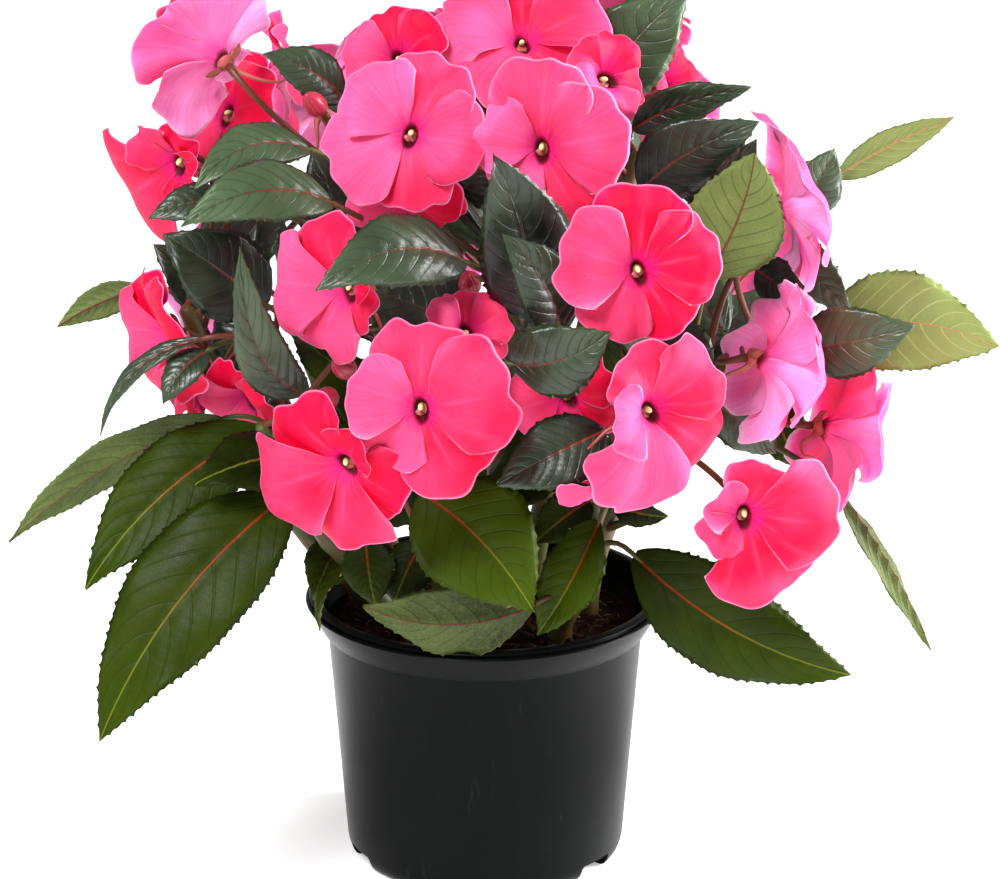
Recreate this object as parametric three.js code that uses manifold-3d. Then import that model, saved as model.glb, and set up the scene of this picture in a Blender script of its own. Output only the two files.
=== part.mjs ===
// A potted New Guinea impatiens: a round nursery pot filled with peat, eleven leafy stems that stand
// in plain holes in the peat, and the blooms and buds that the stems carry.
// Millimetres, +Z up. The origin is the centre of the pot's underside, and the front is -Y.
import * as THREE from "three";
import { mergeVertices } from "three/addons/utils/BufferGeometryUtils.js";
import Module from "manifold-3d";

// Pot
const POT_HEIGHT = 100;
const RIM_RADIUS = 65;
const LIP_RADIUS = 63;
const MOUTH_RADIUS = 60;
const BAND_HEIGHT = 11;
const BAND_FOOT_RADIUS = 59.3;
const WALL_TOP_RADIUS = 57.1;
const WALL_FOOT_RADIUS = 50.6;
const WALL = 1.8;
const CONTACT_RADIUS = 47;
const CORNER_HEIGHT = 6;
const FLOOR_RAISE = 4.4;
const PAD_RADIUS = 14;
const POT_SIDES = 36;
const SLOT_COUNT = 6;
const SLOT_WIDTH = 16.5;
const SLOT_HEIGHT = 5.6;
const SLOT_DEPTH = 26;
const SLOT_BELOW = 10;
const SLOT_FIRST_DEGREES = -6;

// Peat
const SOIL_LEVEL = 89;
const SOIL_FLOOR = 6.8;
const SOIL_CLEARANCE = 0.5;
const SOIL_SIDES = 24;
const SOIL_BUMP = 2.2;
const SOIL_SEED = 4211;
const COLLAR_HEIGHT = 4;
const HOLE_DEPTH = 34;
const HOLE_CLEARANCE = 0.35;

// Stems, leaves and flowers
const STEM_SIDES = 6;
const STEM_STEPS = 5;
const STEM_TIP_SHARE = 0.62;
const STALK_RADIUS = 1.3;
const STALK_BOW = 0.4;
const STALK_END = 0.06;
const PEDICEL_RADIUS = 1.3;
const PEDICEL_SIDES = 3;
const PEDICEL_STEPS = 3;
const PEDICEL_PULL = 24;
const PEDICEL_SAG = 14;
const RIB_HALF_THICKNESS = 0.75;
const LEAF_TEETH_LEAST = 3;
const LEAF_TOOTH_SPACING = 22;
const HIDDEN_TOOTH_SPACING = 25;
const LEAF_TOOTH = 1.6;
const LEAF_TOOTH_PLACE = 0.3;
const PETAL_COUNT = 5;
const PETAL_HALF_THICKNESS = 0.75;
const PETAL_HALF_ANGLE = 45;
const PETAL_STATIONS = [-1, -0.5, 0, 0.5, 1];
const PETAL_MIDDLE = 0.6;
const PETAL_WAIST = 0.79;
const PETAL_REACH = 1.04;
const PETAL_CORNER = 0.34;
const PETAL_CORNER_POWER = 2.6;
const PETAL_NOTCH = 0.1;
const PETAL_NOTCH_NARROWNESS = 22;
const PETAL_LAP = 1.9;
const CUP_RISE = 1.9;
const CUP_CURL = 1.25;
const HUB_RADIUS = 3.6;
const HUB_BACK = 4.6;
const HUB_FRONT = 1;
const HUB_DOME = 1.2;
const SPUR_PETAL = 2;
const SPUR_SWING = 0.5;
const SPUR_HALF_WIDTH = 0.11;
const SPUR_NECK = { inner: 6.5, outer: 8, innerBack: 10.34, outerBack: 9.24 };
const SPUR_END = { distance: 17, back: 13.2 };
const SEAT_GAP = 0.3;
const BUD_SEAT_GAP = 0.8;

// The camera that took the photograph, as it was fitted to the pot's outline. A place in the
// photograph is written as its pixel and its depth, the real distance in front of (-) or behind (+)
// the pot's axis, and view() turns that into millimetres.
const PHOTO_CENTRE_X = 500;
const PHOTO_CENTRE_Y = 439.5;
const CAMERA_FOCAL_PIXELS = 4460.7;
const CAMERA_DISTANCE = 1600;
const CAMERA_ELEVATION = 18.92;
const CAMERA_TARGET = [5.5, 0, 157.1];

const wasm = await Module();
wasm.setup();

const radians = (angle) => (angle * Math.PI) / 180;
const degrees = (angle) => (angle * 180) / Math.PI;
const vector = (x, y, z) => new THREE.Vector3(x, y, z);
const mix = (a, b, share) => a + (b - a) * share;

const toCamera = vector(
  0,
  -Math.cos(radians(CAMERA_ELEVATION)),
  Math.sin(radians(CAMERA_ELEVATION)),
);
const cameraUp = vector(0, Math.sin(radians(CAMERA_ELEVATION)), Math.cos(radians(CAMERA_ELEVATION)));
const cameraPlace = vector(...CAMERA_TARGET).addScaledVector(toCamera, CAMERA_DISTANCE);

// The point at depth y that the photograph shows at the given pixel.
function view([pixelX, pixelY, y]) {
  const ray = toCamera.clone().negate();
  ray.x += (pixelX - PHOTO_CENTRE_X) / CAMERA_FOCAL_PIXELS;
  ray.addScaledVector(cameraUp, (PHOTO_CENTRE_Y - pixelY) / CAMERA_FOCAL_PIXELS);
  return cameraPlace.clone().addScaledVector(ray, (y - cameraPlace.y) / ray.y);
}

// A repeatable random number from 0 to 1.
function seeded(seed) {
  let state = seed;
  return () => {
    state = (state * 16807) % 2147483647;
    return state / 2147483647;
  };
}

// Solids from lists of points and of corner triples, and their joins and cuts
function solidOf(points, triangles) {
  return new wasm.Manifold(
    new wasm.Mesh({
      numProp: 3,
      vertProperties: new Float32Array(points.flatMap((p) => [p.x, p.y, p.z])),
      triVerts: new Uint32Array(triangles.flat()),
    }),
  );
}

function solidOfGeometry(geometry) {
  const bare = geometry.clone();
  bare.deleteAttribute("normal");
  bare.deleteAttribute("uv");
  const merged = mergeVertices(bare, 1e-3);
  return new wasm.Manifold(
    new wasm.Mesh({
      numProp: 3,
      vertProperties: merged.attributes.position.array,
      triVerts: new Uint32Array(merged.index.array),
    }),
  );
}

const joined = (solids) => solids.reduce((whole, solid) => whole.add(solid));

// The largest body of a solid: a loose scrap that a cut leaves is dropped.
function largestBody(solid) {
  const bodies = solid.decompose();
  return bodies.reduce((largest, body) => (body.volume() > largest.volume() ? body : largest));
}

function meshOf(name, solid, material) {
  const made = solid.getMesh();
  const geometry = new THREE.BufferGeometry();
  geometry.setAttribute("position", new THREE.BufferAttribute(made.vertProperties, 3));
  geometry.setIndex(new THREE.BufferAttribute(made.triVerts, 1));
  geometry.computeVertexNormals();
  const mesh = new THREE.Mesh(geometry, material);
  mesh.name = name;
  return mesh;
}

// A closed tube through the given points, with a radius for each.
function tube(points, radii, sides) {
  const corners = [];
  const triangles = [];
  let across = vector(0, 0, 1);
  points.forEach((point, i) => {
    const before = points[Math.max(i - 1, 0)];
    const after = points[Math.min(i + 1, points.length - 1)];
    const along = after.clone().sub(before).normalize();
    if (i === 0 && Math.abs(along.z) > 0.9) across = vector(1, 0, 0);
    across.addScaledVector(along, -across.dot(along)).normalize();
    const third = along.clone().cross(across);
    for (let k = 0; k < sides; k++) {
      const angle = (2 * Math.PI * k) / sides;
      corners.push(
        point
          .clone()
          .addScaledVector(across, radii[i] * Math.cos(angle))
          .addScaledVector(third, radii[i] * Math.sin(angle)),
      );
    }
  });
  for (let i = 0; i + 1 < points.length; i++)
    for (let k = 0; k < sides; k++) {
      const here = i * sides + k;
      const next = i * sides + ((k + 1) % sides);
      triangles.push([here, next, next + sides], [here, next + sides, here + sides]);
    }
  const last = (points.length - 1) * sides;
  for (let k = 1; k + 1 < sides; k++)
    triangles.push([0, k + 1, k], [last, last + k, last + k + 1]);
  return solidOf(corners, triangles);
}

// Points of a quadratic Bezier curve
function bezier(start, control, end, share) {
  const rest = 1 - share;
  return start
    .clone()
    .multiplyScalar(rest * rest)
    .addScaledVector(control, 2 * rest * share)
    .addScaledVector(end, share * share);
}

function bezierPoints(start, control, end, steps) {
  return Array.from({ length: steps + 1 }, (_, i) => bezier(start, control, end, i / steps));
}

// Stems: foot in the peat, middle control point and tip, in millimetres, and the radius at the foot
const STEMS = [
  { foot: [-27, -21], control: [-52, -34, 122], tip: [-78, -42, 176], radius: 4.6 },
  { foot: [-3, -33], control: [-8, -50, 120], tip: [-14, -58, 168], radius: 4.4 },
  { foot: [27, -21], control: [36, -30, 130], tip: [66, -46, 184], radius: 4.6 },
  { foot: [37, 5], control: [42, 4, 148], tip: [104, -4, 200], radius: 4.6 },
  { foot: [25, 29], control: [52, 54, 120], tip: [74, 70, 212], radius: 4.4 },
  { foot: [-2, 38], control: [0, 76, 122], tip: [6, 92, 204], radius: 4.4 },
  { foot: [-27, 27], control: [-54, 52, 120], tip: [-76, 66, 212], radius: 4.4 },
  { foot: [-38, 3], control: [-74, 2, 118], tip: [-106, 0, 206], radius: 4.6 },
  { foot: [3, -6], control: [6, -10, 180], tip: [12, -24, 268], radius: 5 },
  { foot: [-14, 9], control: [-30, 10, 180], tip: [-54, 14, 262], radius: 4.8 },
  { foot: [15, 11], control: [30, 12, 180], tip: [54, 16, 258], radius: 4.8 },
];

function stemPoint(index, share) {
  const { foot, control, tip } = STEMS[index];
  const collar = vector(foot[0], foot[1], SOIL_LEVEL + COLLAR_HEIGHT);
  return bezier(collar, vector(...control), vector(...tip), share);
}

function stemSolid(index) {
  const { foot, radius } = STEMS[index];
  const points = [vector(foot[0], foot[1], SOIL_LEVEL - HOLE_DEPTH)];
  const radii = [radius];
  for (let i = 0; i <= STEM_STEPS; i++) {
    points.push(stemPoint(index, i / STEM_STEPS));
    radii.push(radius * mix(1, STEM_TIP_SHARE, i / STEM_STEPS));
  }
  return tube(points, radii, STEM_SIDES);
}

// Leaves. Each entry is its stem, how far up the stem it grows, its blade's base and tip as seen in
// the photograph, its width, the angle its face is turned about the blade from facing the camera
// (180 shows the underside), its arch and its sideways bend as shares of its length, and the angle
// that its halves are folded up.
const SEEN_LEAVES = [
  [7, 0.45, [225, 418, -34], [8, 542, -34], 22, 140, 0.08, -0.02, 14],
  [0, 0.55, [266, 428, -42], [85, 590, -76], 34, 14, 0.07, 0.06, 16],
  [0, 0.3, [292, 492, -66], [99, 743, -104], 43, 12, 0.1, 0.05, 16],
  [0, 0.7, [296, 456, -56], [195, 484, -86], 26, 30, 0.1, 0, 12],
  [0, 0.05, [352, 562, -34], [320, 632, -43], 9, 60, 0.2, -0.05, 30],
  [0, 0.1, [343, 538, -22], [313, 600, -38], 18, 10, 0.15, 0, 14],
  [1, 0.3, [420, 492, -70], [534, 612, -88], 43, 8, 0.1, -0.08, 14],
  [1, 0.05, [538, 602, -71], [362, 606, -73], 31, 150, 0.04, 0.16, 20],
  [2, 0.15, [600, 520, -66], [537, 636, -68], 26, 30, 0.08, -0.08, 26],
  [2, 0.1, [632, 553, -52], [852, 675, -66], 36, 14, 0.12, 0.045, 14],
  [3, 0.7, [842, 498, -22], [931, 651, -30], 14, 130, 0, 0.06, 30],
  [3, 0.8, [815, 326, 16], [1000, 346, 2], 38, 168, 0.06, 0.09, 12],
  [3, 0.9, [800, 350, -28], [915, 326, -44], 26, 8, 0.1, 0, 14],
  [10, 0.7, [835, 178, 40], [955, 117, 36], 14, 160, 0.06, 0.05, 18],
  [10, 0.75, [795, 215, 30], [834, 148, 30], 22, 20, 0.1, 0, 14],
  [10, 0.85, [706, 280, -56], [755, 153, -66], 34, 176, 0.08, -0.05, 12],
  [10, 0.9, [640, 192, -36], [760, 121, -50], 27, 20, 0.1, -0.1, 14],
  [8, 0.9, [632, 130, -20], [752, 87, -30], 17, 30, 0.1, -0.12, 20],
  [8, 0.95, [602, 98, 18], [688, -6, 20], 32, 10, 0.08, -0.1, 14],
  [3, 0.7, [762, 240, 4], [851, 312, -2], 21, 30, 0.1, -0.1, 14],
  [3, 0.75, [756, 268, -24], [812, 302, -44], 17, 20, 0.1, 0, 14],
  [2, 0.9, [706, 396, -40], [776, 454, -34], 20, 20, 0.12, -0.06, 14],
  [9, 0.95, [345, 100, -14], [262, 54, -22], 18, 14, 0.1, 0.06, 14],
  [9, 0.9, [312, 150, -38], [194, 190, -66], 20, 24, 0.12, 0.12, 16],
  [9, 0.85, [334, 204, -52], [180, 228, -80], 24, 20, 0.12, 0.1, 16],
  [9, 0.8, [236, 204, -44], [148, 219, -54], 15, 20, 0.1, 0.06, 14],
  [8, 0.8, [466, 262, -82], [315, 291, -116], 27, 14, 0.14, 0.1, 14],
  [8, 0.7, [528, 314, -62], [492, 152, -92], 35, 8, 0.06, 0.05, 18],
  [8, 0.65, [560, 338, -84], [502, 234, -96], 24, 14, 0.08, 0.08, 20],
  [1, 0.95, [510, 364, -96], [611, 330, -104], 28, 20, 0.1, 0.08, 16],
  [2, 0.7, [606, 430, -91], [497, 486, -101], 25, 10, 0.1, 0, 14],
  [2, 0.5, [636, 486, -72], [533, 490, -90], 22, 24, 0.12, 0.08, 16],
  [2, 0.3, [590, 500, -52], [533, 545, -66], 18, 16, 0.1, 0, 14],
  [0, 0.95, [306, 394, -74], [240, 246, -102], 20, 20, 0.1, -0.16, 24],
  [9, 0.6, [268, 306, -30], [163, 234, -36], 32, 10, 0.08, 0, 14],
  [7, 0.75, [142, 288, 24], [57, 327, 22], 13, 160, 0.06, -0.03, 16],
  [7, 0.85, [205, 338, -50], [100, 436, -58], 9, 40, 0.1, 0.12, 24],
  [7, 0.85, [208, 350, -48], [163, 405, -60], 14, 24, 0.1, 0.05, 16],
  [10, 0.5, [664, 330, -66], [719, 394, -84], 18, 20, 0.14, -0.1, 14],
  [9, 0.7, [352, 266, -8], [312, 150, -16], 32, 20, 0.1, 0, 14],
  [8, 0.55, [478, 336, -36], [362, 288, -44], 36, 20, 0.1, 0, 14],
  [10, 0.75, [690, 204, 0], [757, 140, -20], 28, 20, 0.1, 0, 14],
  [0, 0.12, [366, 536, -50], [376, 606, -58], 20, 15, 0.1, 0, 14],
  [1, 0.1, [424, 540, -50], [394, 606, -58], 20, 20, 0.1, 0, 14],
  [1, 0.6, [438, 462, -44], [384, 530, -48], 22, 20, 0.1, 0, 14],
  [8, 0.4, [428, 424, -28], [338, 368, -34], 22, 20, 0.1, 0, 14],
  [8, 0.75, [440, 206, 0], [494, 158, -8], 20, 20, 0.1, 0, 14],
  [7, 0.7, [262, 312, 8], [214, 364, 4], 22, 20, 0.1, 0, 14],
  [3, 0.6, [772, 398, 14], [800, 470, 12], 20, 20, 0.1, 0, 14],
  [3, 0.8, [748, 350, 8], [722, 408, 4], 18, 20, 0.1, 0, 14],
  [2, 0.5, [612, 504, -58], [669, 516, -62], 12, 30, 0.1, 0, 20],
  [7, 0.8, [222, 310, 26], [153, 244, 22], 22, 20, 0.1, 0, 14],
];

// Leaves that the photograph hides, behind and between the ones above: how many grow from each stem.
// Each grows at a seeded random place and heading that keeps clear of blooms and of other stems.
const HIDDEN_LEAVES = [3, 4, 3, 4, 7, 8, 7, 4, 3, 4, 4];
const HIDDEN_LEAF_SEED = 20931;
const HIDDEN_LEAF_TRIES = 160;
const HIDDEN_LEAF_SHARE = [0.2, 1];
const HIDDEN_LEAF_RISE = [-24, 44];
const HIDDEN_LEAF_RISE_SPREAD = 30;
const HIDDEN_LEAF_TURN_SPREAD = 50;
const HIDDEN_LEAF_LENGTH = [62, 92];
const HIDDEN_LEAF_STALK = [12, 24];
const HIDDEN_LEAF_WIDTH_SHARE = 0.4;
const HIDDEN_LEAF_ARCH = 0.1;
const HIDDEN_LEAF_BEND_SPREAD = 0.1;
const HIDDEN_LEAF_FOLD = 14;
const HIDDEN_LEAF_MIDDLE = [0, 45, 190];
const HIDDEN_LEAF_REACH = [120, 112, 118];
const HIDDEN_LEAF_LOWEST = POT_HEIGHT + 20;
const LEAF_TO_LEAF = 7;
const LEAF_TO_BLOOM = 8;

// The half width of a leaf as a share of its widest, along the blade
const LEAF_BASE_POWER = 0.75;
const LEAF_TIP_POWER = 1.1;
const LEAF_WIDEST = 0.405;
const leafSwell = (share) => Math.pow(share, LEAF_BASE_POWER) * Math.pow(1 - share, LEAF_TIP_POWER);
function leafProfile(share) {
  if (share <= 0 || share >= 1) return 0;
  return leafSwell(share) / leafSwell(LEAF_WIDEST);
}

// A leaf's frame: midrib curve, upward normal and sideways direction
function leafFrame(base, tip, facing, turn, arch, bend) {
  const chord = tip.clone().sub(base);
  const length = chord.length();
  const along = chord.clone().normalize();
  const normal = facing.clone().addScaledVector(along, -facing.dot(along)).normalize();
  normal.applyAxisAngle(along, radians(turn));
  const side = along.clone().cross(normal);
  const control = base
    .clone()
    .add(tip)
    .multiplyScalar(0.5)
    .addScaledVector(normal, 2 * arch * length)
    .addScaledVector(side, 2 * bend * length);
  return { base, tip, control, normal, side, length };
}

// A point of the blade: along is 0 at its base and 1 at its tip, across is -1 to 1.
function leafPoint(frame, width, fold, along, across) {
  const { base, tip, control, normal, side } = frame;
  const reach = (width / 2) * leafProfile(along) * Math.abs(across);
  return bezier(base, control, tip, along)
    .addScaledVector(side, Math.sign(across) * reach * Math.cos(radians(fold)))
    .addScaledVector(normal, reach * Math.sin(radians(fold)) - (0.5 * reach * reach) / width);
}

// A leaf and its stalk as one closed strip, thick along the rib and thin at the toothed edges. Each
// ring holds the rib's top and bottom and the two edges, and a tooth stands between two rings.
function leafSolid(stem, stemShare, frame, width, fold, toothSpacing) {
  const { base, tip, control, normal } = frame;
  const root = stemPoint(stem, stemShare);
  const heading = control.clone().sub(base).normalize();
  const bow = base.clone().addScaledVector(heading, -STALK_BOW * root.distanceTo(base));
  const teeth = Math.max(LEAF_TEETH_LEAST, Math.round(frame.length / toothSpacing));
  const rings = [];
  const turned = normal.clone();
  [STALK_END, 1].forEach((back) => {
    const place = bezier(base, bow, root, back);
    const ahead = bezier(base, bow, root, back - STALK_END);
    const along = ahead.sub(place).normalize();
    turned.addScaledVector(along, -turned.dot(along)).normalize();
    const side = along.clone().cross(turned);
    const size = STALK_RADIUS * mix(0.9, 1.3, back);
    rings.unshift([
      place.clone().addScaledVector(turned, size),
      place.clone().addScaledVector(turned, -size),
      place.clone().addScaledVector(side, -size),
      place.clone().addScaledVector(side, size),
    ]);
  });
  const stalkRings = rings.length;
  const toothTips = [];
  for (let k = 1; k <= teeth; k++) {
    const toothAlong = (k - LEAF_TOOTH_PLACE) / teeth;
    const reach = (width / 2) * leafProfile(toothAlong);
    const stretch = 1 + LEAF_TOOTH / reach;
    toothTips.push([-1, 1].map((sign) => leafPoint(frame, width, fold, toothAlong, sign * stretch)));
    if (k === teeth) break;
    const along = k / teeth;
    const rib = RIB_HALF_THICKNESS * mix(1.1, 0.8, along);
    const middle = leafPoint(frame, width, fold, along, 0);
    rings.push([
      middle.clone().addScaledVector(normal, rib),
      middle.clone().addScaledVector(normal, -rib),
      leafPoint(frame, width, fold, along, -1),
      leafPoint(frame, width, fold, along, 1),
    ]);
  }
  const points = rings.flat();
  const tipPoint = points.push(tip) - 1;
  const ringPoint = (ring, part) => (ring === rings.length ? tipPoint : ring * 4 + part);
  const triangles = [];
  const face = (a, b, c, flipped) => {
    if (a !== b && b !== c && a !== c) triangles.push(flipped ? [a, c, b] : [a, b, c]);
  };
  for (let ring = 0; ring < rings.length; ring++)
    [0, 1].forEach((edge) => {
      const tooth = ring < stalkRings - 1 ? null : toothTips[ring - stalkRings + 1][edge];
      const toothPoint = tooth ? points.push(tooth) - 1 : null;
      [0, 1].forEach((rib) => {
        const flipped = edge !== rib;
        const low = ringPoint(ring, rib);
        const high = ringPoint(ring + 1, rib);
        const lowEdge = ringPoint(ring, 2 + edge);
        const highEdge = ringPoint(ring + 1, 2 + edge);
        if (tooth) {
          face(low, high, toothPoint, flipped);
          face(low, toothPoint, lowEdge, flipped);
          face(high, highEdge, toothPoint, flipped);
        } else {
          face(low, high, lowEdge, flipped);
          face(high, highEdge, lowEdge, flipped);
        }
      });
    });
  triangles.push([0, 2, 1], [0, 1, 3]);
  return solidOf(points, triangles);
}

// Blooms. Each entry is its stem, how far up the stem its stalk grows, its centre as seen in the
// photograph, the direction it faces as degrees round from the front and degrees up, the turn of its
// petals, its radius, how far its petals are cupped forward, in millimetres, and the sizes of its
// five petals as shares of the radius, counter-clockwise from the top one.
const EVEN = [1, 1.04, 1.04, 1.04, 1.04];
const SEEN_BLOOMS = [
  [9, 0.95, [222, 58, -14], -146, 24, -12, 31, 9, [1.05, 0.8, 0.45, 0.98, 0.96]],
  [7, 0.95, [180, 162, -4], -40, -10, -18, 30, 7, [0.5, 0.6, 1.5, 0.62, 0.5]],
  [7, 1, [228, 114, 22], -40, 30, 0, 24, 5, EVEN],
  [9, 0.8, [272, 74, 44], 100, 15, 0, 24, 5, EVEN],
  [8, 0.9, [399, 60, -8], -15, 32, 20, 18, 5, EVEN],
  [8, 0.95, [411, 134, -58], -10, 24, -26, 28.5, 7, [0.97, 0.92, 1.05, 0.92, 0.92]],
  [9, 0.75, [406, 196, -36], -8, -30, 15, 20, 5, EVEN],
  [8, 1, [522, 44, 0], 5, 58, 0, 30, 6, EVEN],
  [8, 0.95, [542, 148, -66], -14, 10, 0, 29, 7, [1.05, 0.75, 0.7, 0.98, 1.08]],
  [10, 0.95, [604, 80, -24], 34, 30, 40, 16, 5, EVEN],
  [10, 0.8, [662, 84, 40], 60, 20, 0, 16, 5, EVEN],
  [10, 0.7, [638, 270, -93], 6, 12, 0, 28.5, 6, [1.02, 1, 0.88, 0.86, 0.95]],
  [3, 0.95, [783, 208, -26], 104, 13, 10, 31, 6, [1.14, 1.04, 1, 1, 1.04]],
  [3, 0.95, [759, 359, -66], 112, -14, 25, 27, 12, EVEN],
  [3, 0.75, [824, 427, -36], 110, -14, 0, 29, 10, EVEN],
  [2, 0.9, [744, 514, -92], 8, 4, -18, 27, 6, [0.74, 0.56, 0.64, 1.26, 1.2]],
  [2, 0.95, [648, 410, -106], 34, 4, 20, 28, 7, [0.86, 0.74, 1.26, 1.24, 0.98]],
  [2, 0.75, [566, 394, -66], -10, -6, 30, 20, 5, EVEN],
  [2, 0.6, [604, 480, -102], 10, -50, 0, 16, 4, EVEN],
  [1, 0.95, [421, 408, -112], -12, 12, 0, 29.5, 7, [1, 0.8, 0.76, 1.04, 1.12]],
  [1, 0.75, [347, 462, -105], -28, -8, 40, 29.5, 8, [0.95, 1.12, 1.05, 0.85, 0.6]],
  [0, 0.95, [350, 288, -84], -36, 6, 20, 26, 9, [0.98, 1.15, 0.95, 0.62, 0.55]],
  [1, 1, [466, 334, -78], 20, 40, 0, 15, 4, EVEN],
  [7, 0.9, [171, 334, -18], -62, -4, 20, 25, 7, EVEN],
  [0, 0.85, [252, 394, -18], -40, -24, 0, 18, 7, EVEN],
  [7, 0.7, [200, 398, 4], -70, -24, 0, 18, 6, EVEN],
];

// Blooms of the sides that the photograph doesn't show: stem, how far up it, place in millimetres
// and radius. Each faces away from the middle of the plant.
const PLANT_MIDDLE = [0, 0, 185];
const FAR_BLOOM_TURN = 23;
const FAR_BLOOM_CUP = 6;
const FAR_BLOOMS = [
  [4, 1, [60, 104, 252], 27],
  [4, 0.85, [104, 96, 198], 26],
  [5, 1, [26, 140, 248], 28],
  [5, 0.85, [-24, 148, 186], 27],
  [6, 1, [-62, 110, 250], 27],
  [6, 0.85, [-98, 102, 190], 26],
  [10, 1, [50, 72, 292], 25],
  [9, 1, [-28, 84, 280], 25],
];

// Buds: stem, how far up it, place in the photograph, facing and rise in degrees, and length
const BUDS = [
  [8, 0.7, [470, 290, -60], 0, 40, 13],
  [1, 0.95, [352, 372, -70], -30, 30, 13],
  [0, 1, [326, 396, -64], 10, 10, 12],
  [9, 0.95, [322, 112, -36], -30, 40, 13],
];
const BUD_PROFILE = [
  [0, 1.5],
  [0.3, 4],
  [0.7, 3.3],
  [1, 0.6],
];

function budSolid(frame, length) {
  const points = BUD_PROFILE.map(([share]) =>
    frame.centre.clone().addScaledVector(frame.normal, share * length),
  );
  return tube(points, BUD_PROFILE.map(([, radius]) => radius), 5);
}

function bloomFrame(centre, heading, rise, turn, sizes) {
  const normal = vector(
    Math.sin(radians(heading)) * Math.cos(radians(rise)),
    -Math.cos(radians(heading)) * Math.cos(radians(rise)),
    Math.sin(radians(rise)),
  );
  const up = vector(0, 0, 1).addScaledVector(normal, -normal.z).normalize();
  up.applyAxisAngle(normal, radians(turn));
  const across = up.clone().cross(normal);
  return { centre, normal, up, across, sizes };
}

// A point of a petal: outward is 0 at the throat and 1 at the rim, across is -1 to 1.
function petalPoint(frame, petal, radius, cup, outward, across) {
  const angle = (2 * Math.PI * petal) / PETAL_COUNT + radians(PETAL_HALF_ANGLE) * across;
  const corner = PETAL_CORNER * Math.pow(Math.abs(across), PETAL_CORNER_POWER);
  const notch = PETAL_NOTCH * Math.exp(-across * across * PETAL_NOTCH_NARROWNESS);
  const rim = PETAL_REACH - corner - notch;
  const distance = radius * frame.sizes[petal] * mix(1, rim, outward * outward) * outward;
  const share = distance / radius;
  const curve = CUP_RISE * share - CUP_CURL * share * share * share;
  const lift = cup * curve + PETAL_LAP * across * share;
  return frame.centre
    .clone()
    .addScaledVector(frame.up, distance * Math.cos(angle))
    .addScaledVector(frame.across, -distance * Math.sin(angle))
    .addScaledVector(frame.normal, lift);
}

// A bloom as one closed skin: a five-sided hub, a petal blade on each of its sides, thin at the
// edges, a blunt back that sits on the stalk, and a thin hooked spur that leaves the back.
function bloomSolid(frame, radius, cup, spurTurn) {
  const { centre, normal, up, across } = frame;
  const points = [];
  const triangles = [];
  const put = (place) => points.push(place) - 1;
  const at = (angle, distance, forward) =>
    centre
      .clone()
      .addScaledVector(up, distance * Math.cos(angle))
      .addScaledVector(across, -distance * Math.sin(angle))
      .addScaledVector(normal, forward);
  const step = (2 * Math.PI) / PETAL_COUNT;
  const corner = (petal) => step * (petal - 0.5);
  const petals = Array.from({ length: PETAL_COUNT }, (_, petal) => petal);
  const frontRing = petals.map((petal) => put(at(corner(petal), HUB_RADIUS, HUB_FRONT)));
  const backRing = petals.map((petal) => put(at(corner(petal), HUB_RADIUS, -HUB_FRONT)));
  const front = put(at(0, 0, HUB_FRONT + HUB_DOME));
  const back = put(at(0, 0, -HUB_BACK));
  petals.forEach((petal) => {
    const next = (petal + 1) % PETAL_COUNT;
    triangles.push([front, frontRing[petal], frontRing[next]]);
    const blade = (outward, side) => petalPoint(frame, petal, radius, cup, outward, side);
    const rim = PETAL_STATIONS.map((side) => put(blade(1, side)));
    const edges = [-1, 1].map((side) => put(blade(PETAL_MIDDLE, side * PETAL_WAIST)));
    [1, -1].forEach((face) => {
      const thickness = face * PETAL_HALF_THICKNESS;
      const inner = PETAL_STATIONS.slice(1, 4).map((side) =>
        put(blade(PETAL_MIDDLE, side * PETAL_WAIST).addScaledVector(normal, thickness)),
      );
      const row = [edges[0], ...inner, edges[1]];
      const ring = face > 0 ? frontRing : backRing;
      const roots = [ring[petal], ring[petal], ring[next], ring[next]];
      const add = (a, b, c) => triangles.push(face > 0 ? [a, b, c] : [a, c, b]);
      roots.forEach((root, k) => add(root, row[k], row[k + 1]));
      add(ring[petal], row[2], ring[next]);
      for (let k = 0; k < 4; k++)
        if (k < 2) {
          add(row[k], rim[k], row[k + 1]);
          add(row[k + 1], rim[k], rim[k + 1]);
        } else {
          add(row[k], rim[k], rim[k + 1]);
          add(row[k], rim[k + 1], row[k + 1]);
        }
    });
    triangles.push([frontRing[petal], backRing[petal], edges[0]]);
    triangles.push([frontRing[next], edges[1], backRing[next]]);
    if (petal === SPUR_PETAL) {
      const droop = corner(petal) + step / 2;
      const bent = (turn, distance, back) => put(at(droop + spurTurn + turn, distance, -back));
      const neck = [SPUR_HALF_WIDTH, -SPUR_HALF_WIDTH].map((turn) =>
        bent(turn, SPUR_NECK.outer, SPUR_NECK.outerBack),
      );
      neck.push(bent(0, SPUR_NECK.inner, SPUR_NECK.innerBack));
      const end = bent(0, SPUR_END.distance, SPUR_END.back);
      const low = bent(-spurTurn, HUB_RADIUS / 2, (HUB_FRONT + HUB_BACK) / 2);
      const foot = [backRing[next], backRing[petal], low];
      triangles.push([back, backRing[next], low], [backRing[petal], back, low]);
      foot.forEach((root, k) => {
        const after = (k + 1) % 3;
        triangles.push([root, foot[after], neck[after]], [root, neck[after], neck[k]]);
        triangles.push([neck[k], neck[after], end]);
      });
    } else triangles.push([back, backRing[next], backRing[petal]]);
  });
  return solidOf(points, triangles);
}

// The stalk of a bloom or bud, from its stem to just under its back
function pedicelPoints(stem, stemShare, end, normal, steps) {
  const start = stemPoint(stem, stemShare);
  const pull = Math.min(PEDICEL_PULL, 0.5 * start.distanceTo(end));
  const control = end.clone().addScaledVector(normal, -pull);
  control.z = mix(control.z, Math.max(start.z, end.z - PEDICEL_SAG), 0.4);
  return bezierPoints(start, control, end, steps);
}

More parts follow.
